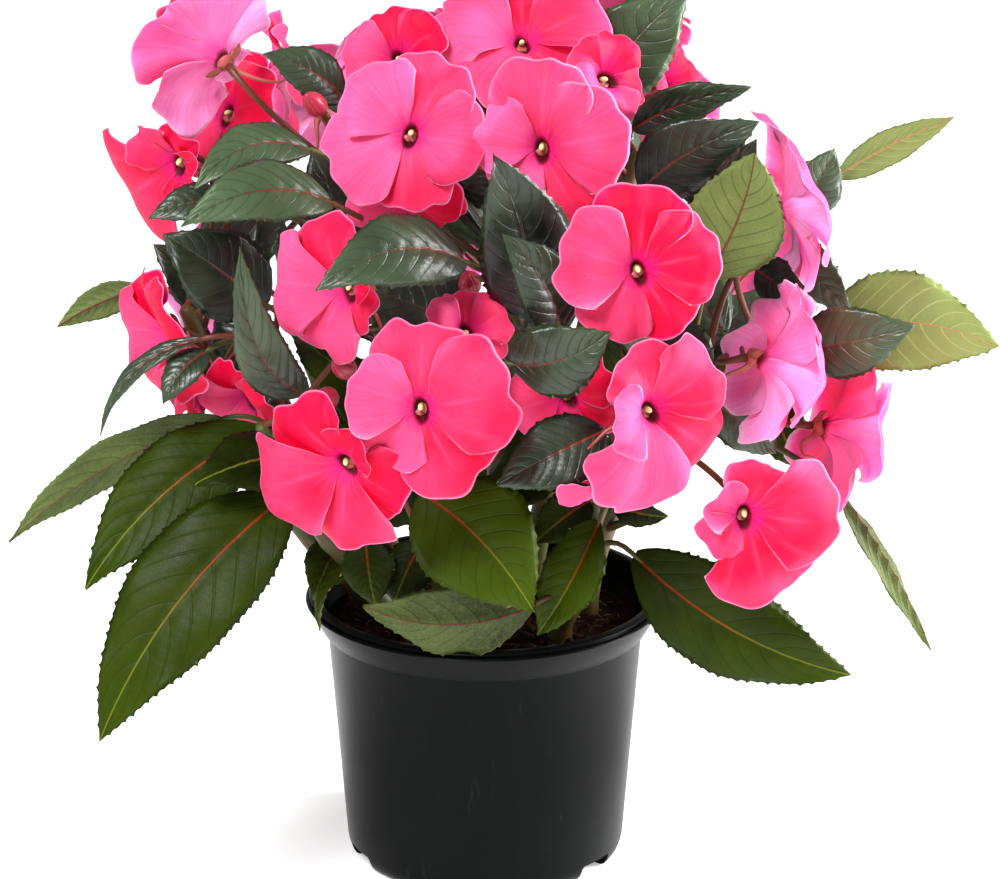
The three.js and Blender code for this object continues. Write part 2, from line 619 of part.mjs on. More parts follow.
function pedicelSolid(stem, stemShare, end, normal) {
  const points = pedicelPoints(stem, stemShare, end, normal, PEDICEL_STEPS);
  const radii = points.map((_, i) => PEDICEL_RADIUS * (i === PEDICEL_STEPS ? 1.4 : 1));
  return tube(points, radii, PEDICEL_SIDES);
}

// Materials
const potMaterial = new THREE.MeshStandardMaterial({ color: 0x232527, roughness: 0.42, metalness: 0 });
const soilMaterial = new THREE.MeshStandardMaterial({ color: 0x1d120d, roughness: 0.95, metalness: 0 });
const leafMaterial = new THREE.MeshStandardMaterial({
  color: 0x2f4a20,
  roughness: 0.4,
  metalness: 0,
  side: THREE.DoubleSide,
});
const petalMaterial = new THREE.MeshStandardMaterial({ color: 0xf9487a, roughness: 0.6, metalness: 0 });
const budMaterial = new THREE.MeshStandardMaterial({ color: 0x8f1a2e, roughness: 0.5, metalness: 0 });

// Pot: one turned shell with a rolled lip, a flared band under it and drain slots through its foot
const BAND_FOOT = POT_HEIGHT - 2 - BAND_HEIGHT;
function potSolid() {
  const profile = [
    [0, 0],
    [PAD_RADIUS, 0],
    [PAD_RADIUS + 2, FLOOR_RAISE],
    [CONTACT_RADIUS - 8, FLOOR_RAISE],
    [CONTACT_RADIUS - 6, 0],
    [CONTACT_RADIUS, 0],
    [mix(CONTACT_RADIUS, WALL_FOOT_RADIUS, 0.7), CORNER_HEIGHT * 0.35],
    [WALL_FOOT_RADIUS, CORNER_HEIGHT],
    [WALL_TOP_RADIUS, BAND_FOOT - 1],
    [BAND_FOOT_RADIUS, BAND_FOOT + 0.6],
    [RIM_RADIUS, POT_HEIGHT - 2.6],
    [RIM_RADIUS - 0.6, POT_HEIGHT - 1.8],
    [LIP_RADIUS + 0.2, POT_HEIGHT - 2],
    [LIP_RADIUS + 0.2, POT_HEIGHT - 0.8],
    [LIP_RADIUS - 0.8, POT_HEIGHT],
    [MOUTH_RADIUS + 0.8, POT_HEIGHT],
    [MOUTH_RADIUS, POT_HEIGHT - 0.8],
    [MOUTH_RADIUS, POT_HEIGHT - 4],
    [BAND_FOOT_RADIUS - WALL, BAND_FOOT + 1],
    [WALL_TOP_RADIUS - WALL, BAND_FOOT - 1.6],
    [WALL_FOOT_RADIUS - WALL, CORNER_HEIGHT + 0.6],
    [CONTACT_RADIUS - 1.6, FLOOR_RAISE + WALL],
    [0, FLOOR_RAISE + WALL],
  ];
  const turned = new THREE.LatheGeometry(
    profile.map(([radius, height]) => new THREE.Vector2(radius, height)),
    POT_SIDES,
  );
  turned.rotateX(Math.PI / 2);
  let pot = solidOfGeometry(turned);
  for (let i = 0; i < SLOT_COUNT; i++) {
    const slot = new THREE.BoxGeometry(SLOT_WIDTH, SLOT_DEPTH, SLOT_HEIGHT + SLOT_BELOW);
    slot.translate(0, -CONTACT_RADIUS, (SLOT_HEIGHT - SLOT_BELOW) / 2);
    slot.rotateZ(radians(SLOT_FIRST_DEGREES + (360 * i) / SLOT_COUNT));
    pot = pot.subtract(solidOfGeometry(slot));
  }
  return pot;
}

// Peat: a plug that fills the pot, with a bumpy top and a plain hole for each stem
function soilRadius(height) {
  const share = (height - CORNER_HEIGHT) / (BAND_FOOT - CORNER_HEIGHT);
  const wall = mix(WALL_FOOT_RADIUS, WALL_TOP_RADIUS, Math.max(share, 0));
  return (wall - WALL) * Math.cos(Math.PI / POT_SIDES) - SOIL_CLEARANCE;
}

function soilSolid() {
  const random = seeded(SOIL_SEED);
  const rings = [
    [CONTACT_RADIUS - 4, SOIL_FLOOR],
    [soilRadius(CORNER_HEIGHT + 2), CORNER_HEIGHT + 2],
    [soilRadius(SOIL_LEVEL - 6), SOIL_LEVEL - 6],
    [soilRadius(SOIL_LEVEL - 6) - 1, SOIL_LEVEL - 1],
    [38, SOIL_LEVEL],
    [20, SOIL_LEVEL],
  ];
  const points = [];
  rings.forEach(([radius, height], ring) => {
    for (let k = 0; k < SOIL_SIDES; k++) {
      const angle = (2 * Math.PI * k) / SOIL_SIDES;
      const bump = ring > 2 ? SOIL_BUMP * (random() - 0.5) : 0;
      points.push(vector(radius * Math.cos(angle), radius * Math.sin(angle), height + bump));
    }
  });
  points.push(vector(0, 0, SOIL_FLOOR), vector(0, 0, SOIL_LEVEL + 1));
  const [bottom, top] = [points.length - 2, points.length - 1];
  const triangles = [];
  for (let k = 0; k < SOIL_SIDES; k++) {
    const next = (k + 1) % SOIL_SIDES;
    triangles.push([bottom, next, k]);
    for (let ring = 0; ring + 1 < rings.length; ring++) {
      const low = ring * SOIL_SIDES;
      const high = low + SOIL_SIDES;
      triangles.push([low + k, low + next, high + next], [low + k, high + next, high + k]);
    }
    const last = (rings.length - 1) * SOIL_SIDES;
    triangles.push([last + k, last + next, top]);
  }
  let soil = solidOf(points, triangles);
  STEMS.forEach(({ foot, radius }) => {
    const low = vector(foot[0], foot[1], SOIL_LEVEL - HOLE_DEPTH - HOLE_CLEARANCE);
    const middle = vector(foot[0], foot[1], SOIL_LEVEL + COLLAR_HEIGHT);
    const high = vector(foot[0], foot[1], SOIL_LEVEL + 3 * COLLAR_HEIGHT);
    const wide = radius + HOLE_CLEARANCE * 1.6;
    soil = soil.subtract(tube([low, middle, high], [wide, wide, wide], STEM_SIDES));
  });
  return largestBody(soil);
}

// Points spread over what has grown so far, with the stem that each grows from. A new leaf keeps
// clear of the points of the other stems and of every bloom.
const grown = [];
const BLOOM_STEM = -1;
const STEM_POINTS = 41;
const PEDICEL_SPREAD = 16;

function leafSpread(stem, stemShare, frame, width, fold) {
  const root = stemPoint(stem, stemShare);
  const spread = [0.3, 0.45, 0.6, 0.75, 0.9].map((part) => root.clone().lerp(frame.base, part));
  for (let along = 0.05; along < 1; along += 0.1)
    [-1, -0.5, 0, 0.5, 1].forEach((across) => {
      spread.push(leafPoint(frame, width, fold, along, across));
    });
  return spread;
}

function bloomSpread(frame, radius, cup) {
  const spread = [frame.centre];
  for (let petal = 0; petal < PETAL_COUNT; petal++)
    [0.35, 0.7, 1].forEach((outward) =>
      [-0.8, -0.3, 0.3].forEach((across) => {
        spread.push(petalPoint(frame, petal, radius, cup, outward, across));
      }),
    );
  return spread;
}

const remember = (spread, stem) => spread.forEach((place) => grown.push({ place, stem }));

function isClear(spread, stem) {
  return spread.every((place) =>
    grown.every((other) => {
      if (other.stem === stem) return true;
      const room = other.stem === BLOOM_STEM ? LEAF_TO_BLOOM : LEAF_TO_LEAF;
      return place.distanceTo(other.place) > room;
    }),
  );
}

function isInside(place) {
  const [reachX, reachY, reachZ] = HIDDEN_LEAF_REACH;
  const offset = place.clone().sub(vector(...HIDDEN_LEAF_MIDDLE));
  const share = Math.hypot(offset.x / reachX, offset.y / reachY, offset.z / reachZ);
  return share < 1 && place.z > HIDDEN_LEAF_LOWEST;
}

// Foliage and flowers, gathered stem by stem
const growth = STEMS.map((_, index) => [stemSolid(index)]);
STEMS.forEach((_, index) => {
  const shares = Array.from({ length: STEM_POINTS }, (_, i) => i / (STEM_POINTS - 1));
  remember(shares.map((share) => stemPoint(index, share)), index);
});

function addPedicel(stem, share, frame, gap) {
  const seat = frame.centre.clone().addScaledVector(frame.normal, -gap);
  growth[stem].push(pedicelSolid(stem, share, seat, frame.normal));
  remember(pedicelPoints(stem, share, seat, frame.normal, PEDICEL_SPREAD), stem);
}

const blooms = [];
function addBloom(stem, share, frame, radius, cup) {
  const swing = blooms.length % 2 ? SPUR_SWING : -SPUR_SWING;
  blooms.push(bloomSolid(frame, radius, cup, swing));
  remember(bloomSpread(frame, radius, cup), BLOOM_STEM);
  addPedicel(stem, share, frame, HUB_BACK + SEAT_GAP);
}
SEEN_BLOOMS.forEach(([stem, share, centre, heading, rise, turn, radius, cup, sizes]) => {
  addBloom(stem, share, bloomFrame(view(centre), heading, rise, turn, sizes), radius, cup);
});
FAR_BLOOMS.forEach(([stem, share, centre, radius], index) => {
  const away = vector(...centre).sub(vector(...PLANT_MIDDLE));
  const heading = degrees(Math.atan2(away.x, -away.y));
  const rise = degrees(Math.atan2(away.z, Math.hypot(away.x, away.y)));
  const frame = bloomFrame(vector(...centre), heading, rise, FAR_BLOOM_TURN * index, EVEN);
  addBloom(stem, share, frame, radius, FAR_BLOOM_CUP);
});

const buds = BUDS.map(([stem, share, place, heading, rise, length]) => {
  const frame = bloomFrame(view(place), heading, rise, 0, EVEN);
  addPedicel(stem, share, frame, BUD_SEAT_GAP);
  remember([frame.centre, frame.centre.clone().addScaledVector(frame.normal, length)], BLOOM_STEM);
  return budSolid(frame, length);
});

SEEN_LEAVES.forEach(([stem, share, base, tip, width, turn, arch, bend, fold]) => {
  const frame = leafFrame(view(base), view(tip), toCamera, turn, arch, bend);
  growth[stem].push(leafSolid(stem, share, frame, width, fold, LEAF_TOOTH_SPACING));
  remember(leafSpread(stem, share, frame, width, fold), stem);
});

const random = seeded(HIDDEN_LEAF_SEED);
HIDDEN_LEAVES.forEach((wanted, stem) => {
  let found = 0;
  for (let attempt = 0; attempt < HIDDEN_LEAF_TRIES; attempt++) {
    const [first, second, third, fourth, fifth, sixth] = [1, 2, 3, 4, 5, 6].map(() => random());
    if (found === wanted) continue;
    const share = mix(...HIDDEN_LEAF_SHARE, first);
    const heading = 2 * Math.PI * second;
    const rise = radians(mix(...HIDDEN_LEAF_RISE, share) + HIDDEN_LEAF_RISE_SPREAD * (third - 0.5));
    const length = mix(...HIDDEN_LEAF_LENGTH, fourth);
    const direction = vector(
      Math.sin(heading) * Math.cos(rise),
      -Math.cos(heading) * Math.cos(rise),
      Math.sin(rise),
    );
    const stalk = mix(...HIDDEN_LEAF_STALK, fifth);
    const base = stemPoint(stem, share).addScaledVector(direction, stalk);
    const tip = base.clone().addScaledVector(direction, length);
    const turn = HIDDEN_LEAF_TURN_SPREAD * (sixth - 0.5);
    const bend = HIDDEN_LEAF_BEND_SPREAD * (fifth - 0.5);
    const frame = leafFrame(base, tip, vector(0, 0, 1), turn, HIDDEN_LEAF_ARCH, bend);
    const width = HIDDEN_LEAF_WIDTH_SHARE * length;
    const spread = leafSpread(stem, share, frame, width, HIDDEN_LEAF_FOLD);
    if (!isInside(tip) || !isClear(spread, stem)) continue;
    growth[stem].push(leafSolid(stem, share, frame, width, HIDDEN_LEAF_FOLD, HIDDEN_TOOTH_SPACING));
    remember(spread, stem);
    found += 1;
  }
});

const plant = new THREE.Group();
plant.add(meshOf("pot", potSolid(), potMaterial));
plant.add(meshOf("soil", soilSolid(), soilMaterial));
growth.forEach((solids, index) => {
  plant.add(meshOf(`leafy_stem_${index + 1}`, largestBody(joined(solids)), leafMaterial));
});
blooms.forEach((solid, index) => {
  plant.add(meshOf(`bloom_${index + 1}`, solid, petalMaterial));
});
buds.forEach((solid, index) => {
  plant.add(meshOf(`bud_${index + 1}`, solid, budMaterial));
});

export default plant;
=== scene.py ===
"""A potted New Guinea impatiens: finely toothed, veined leaves on fleshy stems, ruffled pink blooms,
dark red buds, rough peat and a satin nursery pot, each built over the solid it stands for, which is
hidden."""

import math

import bpy
import numpy as np
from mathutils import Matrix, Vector, noise


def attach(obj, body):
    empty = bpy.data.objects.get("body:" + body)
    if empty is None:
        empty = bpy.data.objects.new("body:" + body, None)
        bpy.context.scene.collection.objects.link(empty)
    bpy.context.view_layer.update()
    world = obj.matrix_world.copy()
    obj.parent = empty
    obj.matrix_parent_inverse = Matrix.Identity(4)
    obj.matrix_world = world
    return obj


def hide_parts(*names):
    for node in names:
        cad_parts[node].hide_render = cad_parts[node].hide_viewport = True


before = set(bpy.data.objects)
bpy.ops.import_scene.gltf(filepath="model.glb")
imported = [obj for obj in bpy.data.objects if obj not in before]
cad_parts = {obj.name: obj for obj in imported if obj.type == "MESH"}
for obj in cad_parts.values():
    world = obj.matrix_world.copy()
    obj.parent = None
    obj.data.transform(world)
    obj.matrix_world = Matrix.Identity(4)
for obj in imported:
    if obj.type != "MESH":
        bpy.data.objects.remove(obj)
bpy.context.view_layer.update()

METRE = 1000
UPWARD = np.array([0, 0, 1.0])

# Pot and peat, in millimetres
POT_HEIGHT = 100
RIM_RADIUS = 65
LIP_RADIUS = 63
MOUTH_RADIUS = 60
BAND_HEIGHT = 11
BAND_FOOT_RADIUS = 59.3
BAND_FOOT = POT_HEIGHT - 2 - BAND_HEIGHT
WALL_TOP_RADIUS = 57.1
WALL_FOOT_RADIUS = 50.6
WALL = 1.8
CONTACT_RADIUS = 47
CORNER_HEIGHT = 6
FLOOR_RAISE = 4.4
PAD_RADIUS = 14
SLOT_COUNT = 6
SLOT_WIDTH = 16.5
SLOT_HEIGHT = 5.6
SLOT_FIRST_DEGREES = -6
SOIL_LEVEL = 89
COLLAR_HEIGHT = 4

# Stems, stalks and flowers
STEM_TIP_SHARE = 0.62
STALK_RADIUS = 1.2
STALK_BOW = 0.4
PEDICEL_RADIUS = 1.15
PEDICEL_PULL = 24
PEDICEL_SAG = 14
PETAL_COUNT = 5
PETAL_HALF_ANGLE = 45
PETAL_REACH = 1.04
PETAL_CORNER = 0.34
PETAL_CORNER_POWER = 2.6
PETAL_NOTCH = 0.1
PETAL_NOTCH_NARROWNESS = 22
PETAL_LAP = 1.9
CUP_RISE = 1.9
CUP_CURL = 1.25
HUB_RADIUS = 3.6
HUB_BACK = 4.6
SPUR_PETAL = 2
SPUR_SWING = 0.5
SEAT_GAP = 0.3
BUD_SEAT_GAP = 0.8

# The camera that took the photograph. A place is a pixel and a depth behind the pot's axis.
PHOTO_WIDTH = 1000
PHOTO_CENTRE_X = 500
PHOTO_CENTRE_Y = 439.5
CAMERA_FOCAL_PIXELS = 4460.7
CAMERA_DISTANCE = 1600
CAMERA_ELEVATION = 18.92
CAMERA_TARGET = np.array([5.5, 0, 157.1])
SENSOR_WIDTH = 36


def radians(angle):
    return angle * math.pi / 180


def mix(low, high, share):
    return low + (high - low) * share


def smooth(value, low, high):
    share = np.clip((value - low) / (high - low), 0, 1)
    return share * share * (3 - 2 * share)


def unit(vector):
    return vector / np.linalg.norm(vector)


def pointing(heading, rise):
    """The direction at a heading from the front and a rise above level, both in radians."""
    level = math.cos(rise)
    return np.array([math.sin(heading) * level, -math.cos(heading) * level, math.sin(rise)])


TILT = radians(CAMERA_ELEVATION)
TO_CAMERA = np.array([0, -math.cos(TILT), math.sin(TILT)])
CAMERA_UP = np.array([0, math.sin(TILT), math.cos(TILT)])
CAMERA_PLACE = CAMERA_TARGET + TO_CAMERA * CAMERA_DISTANCE


def view(place):
    pixel_x, pixel_y, depth = place
    ray = -TO_CAMERA + CAMERA_UP * (PHOTO_CENTRE_Y - pixel_y) / CAMERA_FOCAL_PIXELS
    ray[0] += (pixel_x - PHOTO_CENTRE_X) / CAMERA_FOCAL_PIXELS
    return CAMERA_PLACE + ray * (depth - CAMERA_PLACE[1]) / ray[1]


def seeded(seed):
    state = seed
    while True:
        state = (state * 16807) % 2147483647
        yield state / 2147483647


def bezier(start, control, end, share):
    share = np.asarray(share, float)[..., None]
    rest = 1 - share
    return start * rest * rest + control * 2 * rest * share + end * share * share


# Stems: foot in the peat, middle control point, tip, and radius at the foot
STEMS = [
    ([-27, -21], [-52, -34, 122], [-78, -42, 176], 4.6),
    ([-3, -33], [-8, -50, 120], [-14, -58, 168], 4.4),
    ([27, -21], [36, -30, 130], [66, -46, 184], 4.6),
    ([37, 5], [42, 4, 148], [104, -4, 200], 4.6),
    ([25, 29], [52, 54, 120], [74, 70, 212], 4.4),
    ([-2, 38], [0, 76, 122], [6, 92, 204], 4.4),
    ([-27, 27], [-54, 52, 120], [-76, 66, 212], 4.4),
    ([-38, 3], [-74, 2, 118], [-106, 0, 206], 4.6),
    ([3, -6], [6, -10, 180], [12, -24, 268], 5),
    ([-14, 9], [-30, 10, 180], [-54, 14, 262], 4.8),
    ([15, 11], [30, 12, 180], [54, 16, 258], 4.8),
]


def stem_point(index, share):
    foot, control, tip, _ = STEMS[index]
    collar = np.array([*foot, SOIL_LEVEL + COLLAR_HEIGHT], float)
    return bezier(collar, np.array(control, float), np.array(tip, float), share)


# Leaves: stem, how far up it, base and tip in the photograph, width, turn of the face from the
# camera, arch, sideways bend, fold, and how light the leaf is drawn: partly its own tone, partly
# painted shade on leaves deep inside the plant and painted highlight on glossy ones
SEEN_LEAVES = [
    (7, 0.45, [225, 418, -34], [8, 542, -34], 22, 140, 0.08, -0.02, 14, 0.25),
    (0, 0.55, [266, 428, -42], [85, 590, -76], 34, 14, 0.07, 0.06, 16, 0.42),
    (0, 0.3, [292, 492, -66], [99, 743, -104], 43, 12, 0.1, 0.05, 16, 0.42),
    (0, 0.7, [296, 456, -56], [195, 484, -86], 26, 30, 0.1, 0, 12, 0.12),
    (0, 0.05, [352, 562, -34], [320, 632, -43], 9, 60, 0.2, -0.05, 30, 0.8),
    (0, 0.1, [343, 538, -22], [313, 600, -38], 18, 10, 0.15, 0, 14, 0.4),
    (1, 0.3, [420, 492, -70], [534, 612, -88], 43, 8, 0.1, -0.08, 14, 0.7),
    (1, 0.05, [538, 602, -71], [362, 606, -73], 31, 150, 0.04, 0.16, 20, 0.12),
    (2, 0.15, [600, 520, -66], [537, 636, -68], 26, 30, 0.08, -0.08, 26, 0.55),
    (2, 0.1, [632, 553, -52], [852, 675, -66], 36, 14, 0.12, 0.045, 14, 0.36),
    (3, 0.7, [842, 498, -22], [931, 651, -30], 14, 130, 0, 0.06, 30, 0.3),
    (3, 0.8, [815, 326, 16], [1000, 346, 2], 38, 168, 0.06, 0.09, 12, 0.8),
    (3, 0.9, [800, 350, -28], [915, 326, -44], 26, 8, 0.1, 0, 14, 0.4),
    (10, 0.7, [835, 178, 40], [955, 117, 36], 14, 160, 0.06, 0.05, 18, 0.8),
    (10, 0.75, [795, 215, 30], [834, 148, 30], 22, 20, 0.1, 0, 14, 0.3),
    (10, 0.85, [706, 280, -56], [755, 153, -66], 34, 176, 0.08, -0.05, 12, 0.5),
    (10, 0.9, [640, 192, -36], [760, 121, -50], 27, 20, 0.1, -0.1, 14, 0.12),
    (8, 0.9, [632, 130, -20], [752, 87, -30], 17, 30, 0.1, -0.12, 20, 0.2),
    (8, 0.95, [602, 98, 18], [688, -6, 20], 32, 10, 0.08, -0.1, 14, 0.45),
    (3, 0.7, [762, 240, 4], [851, 312, -2], 21, 30, 0.1, -0.1, 14, 0.3),
    (3, 0.75, [756, 268, -24], [812, 302, -44], 17, 20, 0.1, 0, 14, 0.1),
    (2, 0.9, [706, 396, -40], [776, 454, -34], 20, 20, 0.12, -0.06, 14, 0.35),
    (9, 0.95, [345, 100, -14], [262, 54, -22], 18, 14, 0.1, 0.06, 14, 0.25),
    (9, 0.9, [312, 150, -38], [194, 190, -66], 20, 24, 0.12, 0.12, 16, 0.55),
    (9, 0.85, [334, 204, -52], [180, 228, -80], 24, 20, 0.12, 0.1, 16, 0.6),
    (9, 0.8, [236, 204, -44], [148, 219, -54], 15, 20, 0.1, 0.06, 14, 0.2),
    (8, 0.8, [466, 262, -82], [315, 291, -116], 27, 14, 0.14, 0.1, 14, 0.28),
    (8, 0.7, [528, 314, -62], [492, 152, -92], 35, 8, 0.06, 0.05, 18, 0.08),
    (8, 0.65, [560, 338, -84], [502, 234, -96], 24, 14, 0.08, 0.08, 20, 0.14),
    (1, 0.95, [510, 364, -96], [611, 330, -104], 28, 20, 0.1, 0.08, 16, 0.25),
    (2, 0.7, [606, 430, -91], [497, 486, -101], 25, 10, 0.1, 0, 14, 0.2),
    (2, 0.5, [636, 486, -72], [533, 490, -90], 22, 24, 0.12, 0.08, 16, 0.18),
    (2, 0.3, [590, 500, -52], [533, 545, -66], 18, 16, 0.1, 0, 14, 0.2),
    (0, 0.95, [306, 394, -74], [240, 246, -102], 20, 20, 0.1, -0.16, 24, 0.42),
    (9, 0.6, [268, 306, -30], [163, 234, -36], 32, 10, 0.08, 0, 14, 0.1),
    (7, 0.75, [142, 288, 24], [57, 327, 22], 13, 160, 0.06, -0.03, 16, 0.4),
    (7, 0.85, [205, 338, -50], [100, 436, -58], 9, 40, 0.1, 0.12, 24, 0.3),
    (7, 0.85, [208, 350, -48], [163, 405, -60], 14, 24, 0.1, 0.05, 16, 0.25),
    (10, 0.5, [664, 330, -66], [719, 394, -84], 18, 20, 0.14, -0.1, 14, 0.2),
    (9, 0.7, [352, 266, -8], [312, 150, -16], 32, 20, 0.1, 0, 14, 0.05),
    (8, 0.55, [478, 336, -36], [362, 288, -44], 36, 20, 0.1, 0, 14, 0.05),
    (10, 0.75, [690, 204, 0], [757, 140, -20], 28, 20, 0.1, 0, 14, 0.08),
    (0, 0.12, [366, 536, -50], [376, 606, -58], 20, 15, 0.1, 0, 14, 0.25),
    (1, 0.1, [424, 540, -50], [394, 606, -58], 20, 20, 0.1, 0, 14, 0.2),
    (1, 0.6, [438, 462, -44], [384, 530, -48], 22, 20, 0.1, 0, 14, 0.05),
    (8, 0.4, [428, 424, -28], [338, 368, -34], 22, 20, 0.1, 0, 14, 0.05),
    (8, 0.75, [440, 206, 0], [494, 158, -8], 20, 20, 0.1, 0, 14, 0.05),
    (7, 0.7, [262, 312, 8], [214, 364, 4], 22, 20, 0.1, 0, 14, 0.05),
    (3, 0.6, [772, 398, 14], [800, 470, 12], 20, 20, 0.1, 0, 14, 0.3),
    (3, 0.8, [748, 350, 8], [722, 408, 4], 18, 20, 0.1, 0, 14, 0.2),
    (2, 0.5, [612, 504, -58], [669, 516, -62], 12, 30, 0.1, 0, 20, 0.1),
    (7, 0.8, [222, 310, 26], [153, 244, 22], 22, 20, 0.1, 0, 14, 0.1),
]

# Leaves that the photograph hides, at the same seeded places as in the solids
HIDDEN_LEAVES = [3, 4, 3, 4, 7, 8, 7, 4, 3, 4, 4]
HIDDEN_LEAF_SEED = 20931
HIDDEN_LEAF_TRIES = 160
HIDDEN_LEAF_SHARE = (0.2, 1)
HIDDEN_LEAF_RISE = (-24, 44)
HIDDEN_LEAF_RISE_SPREAD = 30
HIDDEN_LEAF_TURN_SPREAD = 50
HIDDEN_LEAF_LENGTH = (62, 92)
HIDDEN_LEAF_STALK = (12, 24)
HIDDEN_LEAF_WIDTH_SHARE = 0.4
HIDDEN_LEAF_ARCH = 0.1
HIDDEN_LEAF_BEND_SPREAD = 0.1
HIDDEN_LEAF_FOLD = 14
HIDDEN_LEAF_LIGHT = (0.12, 0.42)
HIDDEN_LEAF_MIDDLE = np.array([0, 45, 190])
HIDDEN_LEAF_REACH = np.array([120, 112, 118])
HIDDEN_LEAF_LOWEST = POT_HEIGHT + 20
LEAF_TO_LEAF = 7
LEAF_TO_BLOOM = 8

# Blooms: stem, how far up it, centre in the photograph, heading, rise, turn, radius, cup, and the
# sizes of the five petals, counter-clockwise from the top one
EVEN = [1, 1.04, 1.04, 1.04, 1.04]
SEEN_BLOOMS = [
    (9, 0.95, [222, 58, -14], -146, 24, -12, 31, 9, [1.05, 0.8, 0.45, 0.98, 0.96]),
    (7, 0.95, [180, 162, -4], -40, -10, -18, 30, 7, [0.5, 0.6, 1.5, 0.62, 0.5]),
    (7, 1, [228, 114, 22], -40, 30, 0, 24, 5, EVEN),
    (9, 0.8, [272, 74, 44], 100, 15, 0, 24, 5, EVEN),
    (8, 0.9, [399, 60, -8], -15, 32, 20, 18, 5, EVEN),
    (8, 0.95, [411, 134, -58], -10, 24, -26, 28.5, 7, [0.97, 0.92, 1.05, 0.92, 0.92]),
    (9, 0.75, [406, 196, -36], -8, -30, 15, 20, 5, EVEN),
    (8, 1, [522, 44, 0], 5, 58, 0, 30, 6, EVEN),
    (8, 0.95, [542, 148, -66], -14, 10, 0, 29, 7, [1.05, 0.75, 0.7, 0.98, 1.08]),
    (10, 0.95, [604, 80, -24], 34, 30, 40, 16, 5, EVEN),
    (10, 0.8, [662, 84, 40], 60, 20, 0, 16, 5, EVEN),
    (10, 0.7, [638, 270, -93], 6, 12, 0, 28.5, 6, [1.02, 1, 0.88, 0.86, 0.95]),
    (3, 0.95, [783, 208, -26], 104, 13, 10, 31, 6, [1.14, 1.04, 1, 1, 1.04]),
    (3, 0.95, [759, 359, -66], 112, -14, 25, 27, 12, EVEN),
    (3, 0.75, [824, 427, -36], 110, -14, 0, 29, 10, EVEN),
    (2, 0.9, [744, 514, -92], 8, 4, -18, 27, 6, [0.74, 0.56, 0.64, 1.26, 1.2]),
    (2, 0.95, [648, 410, -106], 34, 4, 20, 28, 7, [0.86, 0.74, 1.26, 1.24, 0.98]),
    (2, 0.75, [566, 394, -66], -10, -6, 30, 20, 5, EVEN),
    (2, 0.6, [604, 480, -102], 10, -50, 0, 16, 4, EVEN),
    (1, 0.95, [421, 408, -112], -12, 12, 0, 29.5, 7, [1, 0.8, 0.76, 1.04, 1.12]),
    (1, 0.75, [347, 462, -105], -28, -8, 40, 29.5, 8, [0.95, 1.12, 1.05, 0.85, 0.6]),
    (0, 0.95, [350, 288, -84], -36, 6, 20, 26, 9, [0.98, 1.15, 0.95, 0.62, 0.55]),
    (1, 1, [466, 334, -78], 20, 40, 0, 15, 4, EVEN),
    (7, 0.9, [171, 334, -18], -62, -4, 20, 25, 7, EVEN),
    (0, 0.85, [252, 394, -18], -40, -24, 0, 18, 7, EVEN),
    (7, 0.7, [200, 398, 4], -70, -24, 0, 18, 6, EVEN),
]
# How pale and violet each of those blooms is drawn, from coral red to orchid pink: partly its own
# colour, partly painted light, deeper coral where the bloom lies in shade and paler pink where it is
# lit
BLOOM_TONES_AND_SHADE = [
    0.5, 0.04, 0.04, 0.2, 0.3, 0.6, 0.12, 0.45, 0.62, 0.4, 0.2, 0.08, 0.78,
    0.62, 0.3, 0.32, 0.36, 0.15, 0.5, 0.46, 0.02, 0.35, 0.5, 0.25, 0.15, 0.1,
]
FAR_BLOOM_TONE = 0.35
PLANT_MIDDLE = np.array([0, 0, 185])
FAR_BLOOM_TURN = 23
FAR_BLOOM_CUP = 6
FAR_BLOOMS = [
    (4, 1, [60, 104, 252], 27),
    (4, 0.85, [104, 96, 198], 26),
    (5, 1, [26, 140, 248], 28),
    (5, 0.85, [-24, 148, 186], 27),
    (6, 1, [-62, 110, 250], 27),
    (6, 0.85, [-98, 102, 190], 26),
    (10, 1, [50, 72, 292], 25),
    (9, 1, [-28, 84, 280], 25),
]

# Buds: stem, how far up it, place in the photograph, heading, rise and length
BUDS = [
    (8, 0.7, [470, 290, -60], 0, 40, 13),
    (1, 0.95, [352, 372, -70], -30, 30, 13),
    (0, 1, [326, 396, -64], 10, 10, 12),
    (9, 0.95, [322, 112, -36], -30, 40, 13),
]
BUD_PROFILE = [(0, 1.5), (0.12, 2.6), (0.3, 4), (0.5, 3.9), (0.7, 3.3), (0.88, 1.9), (1, 0.6)]


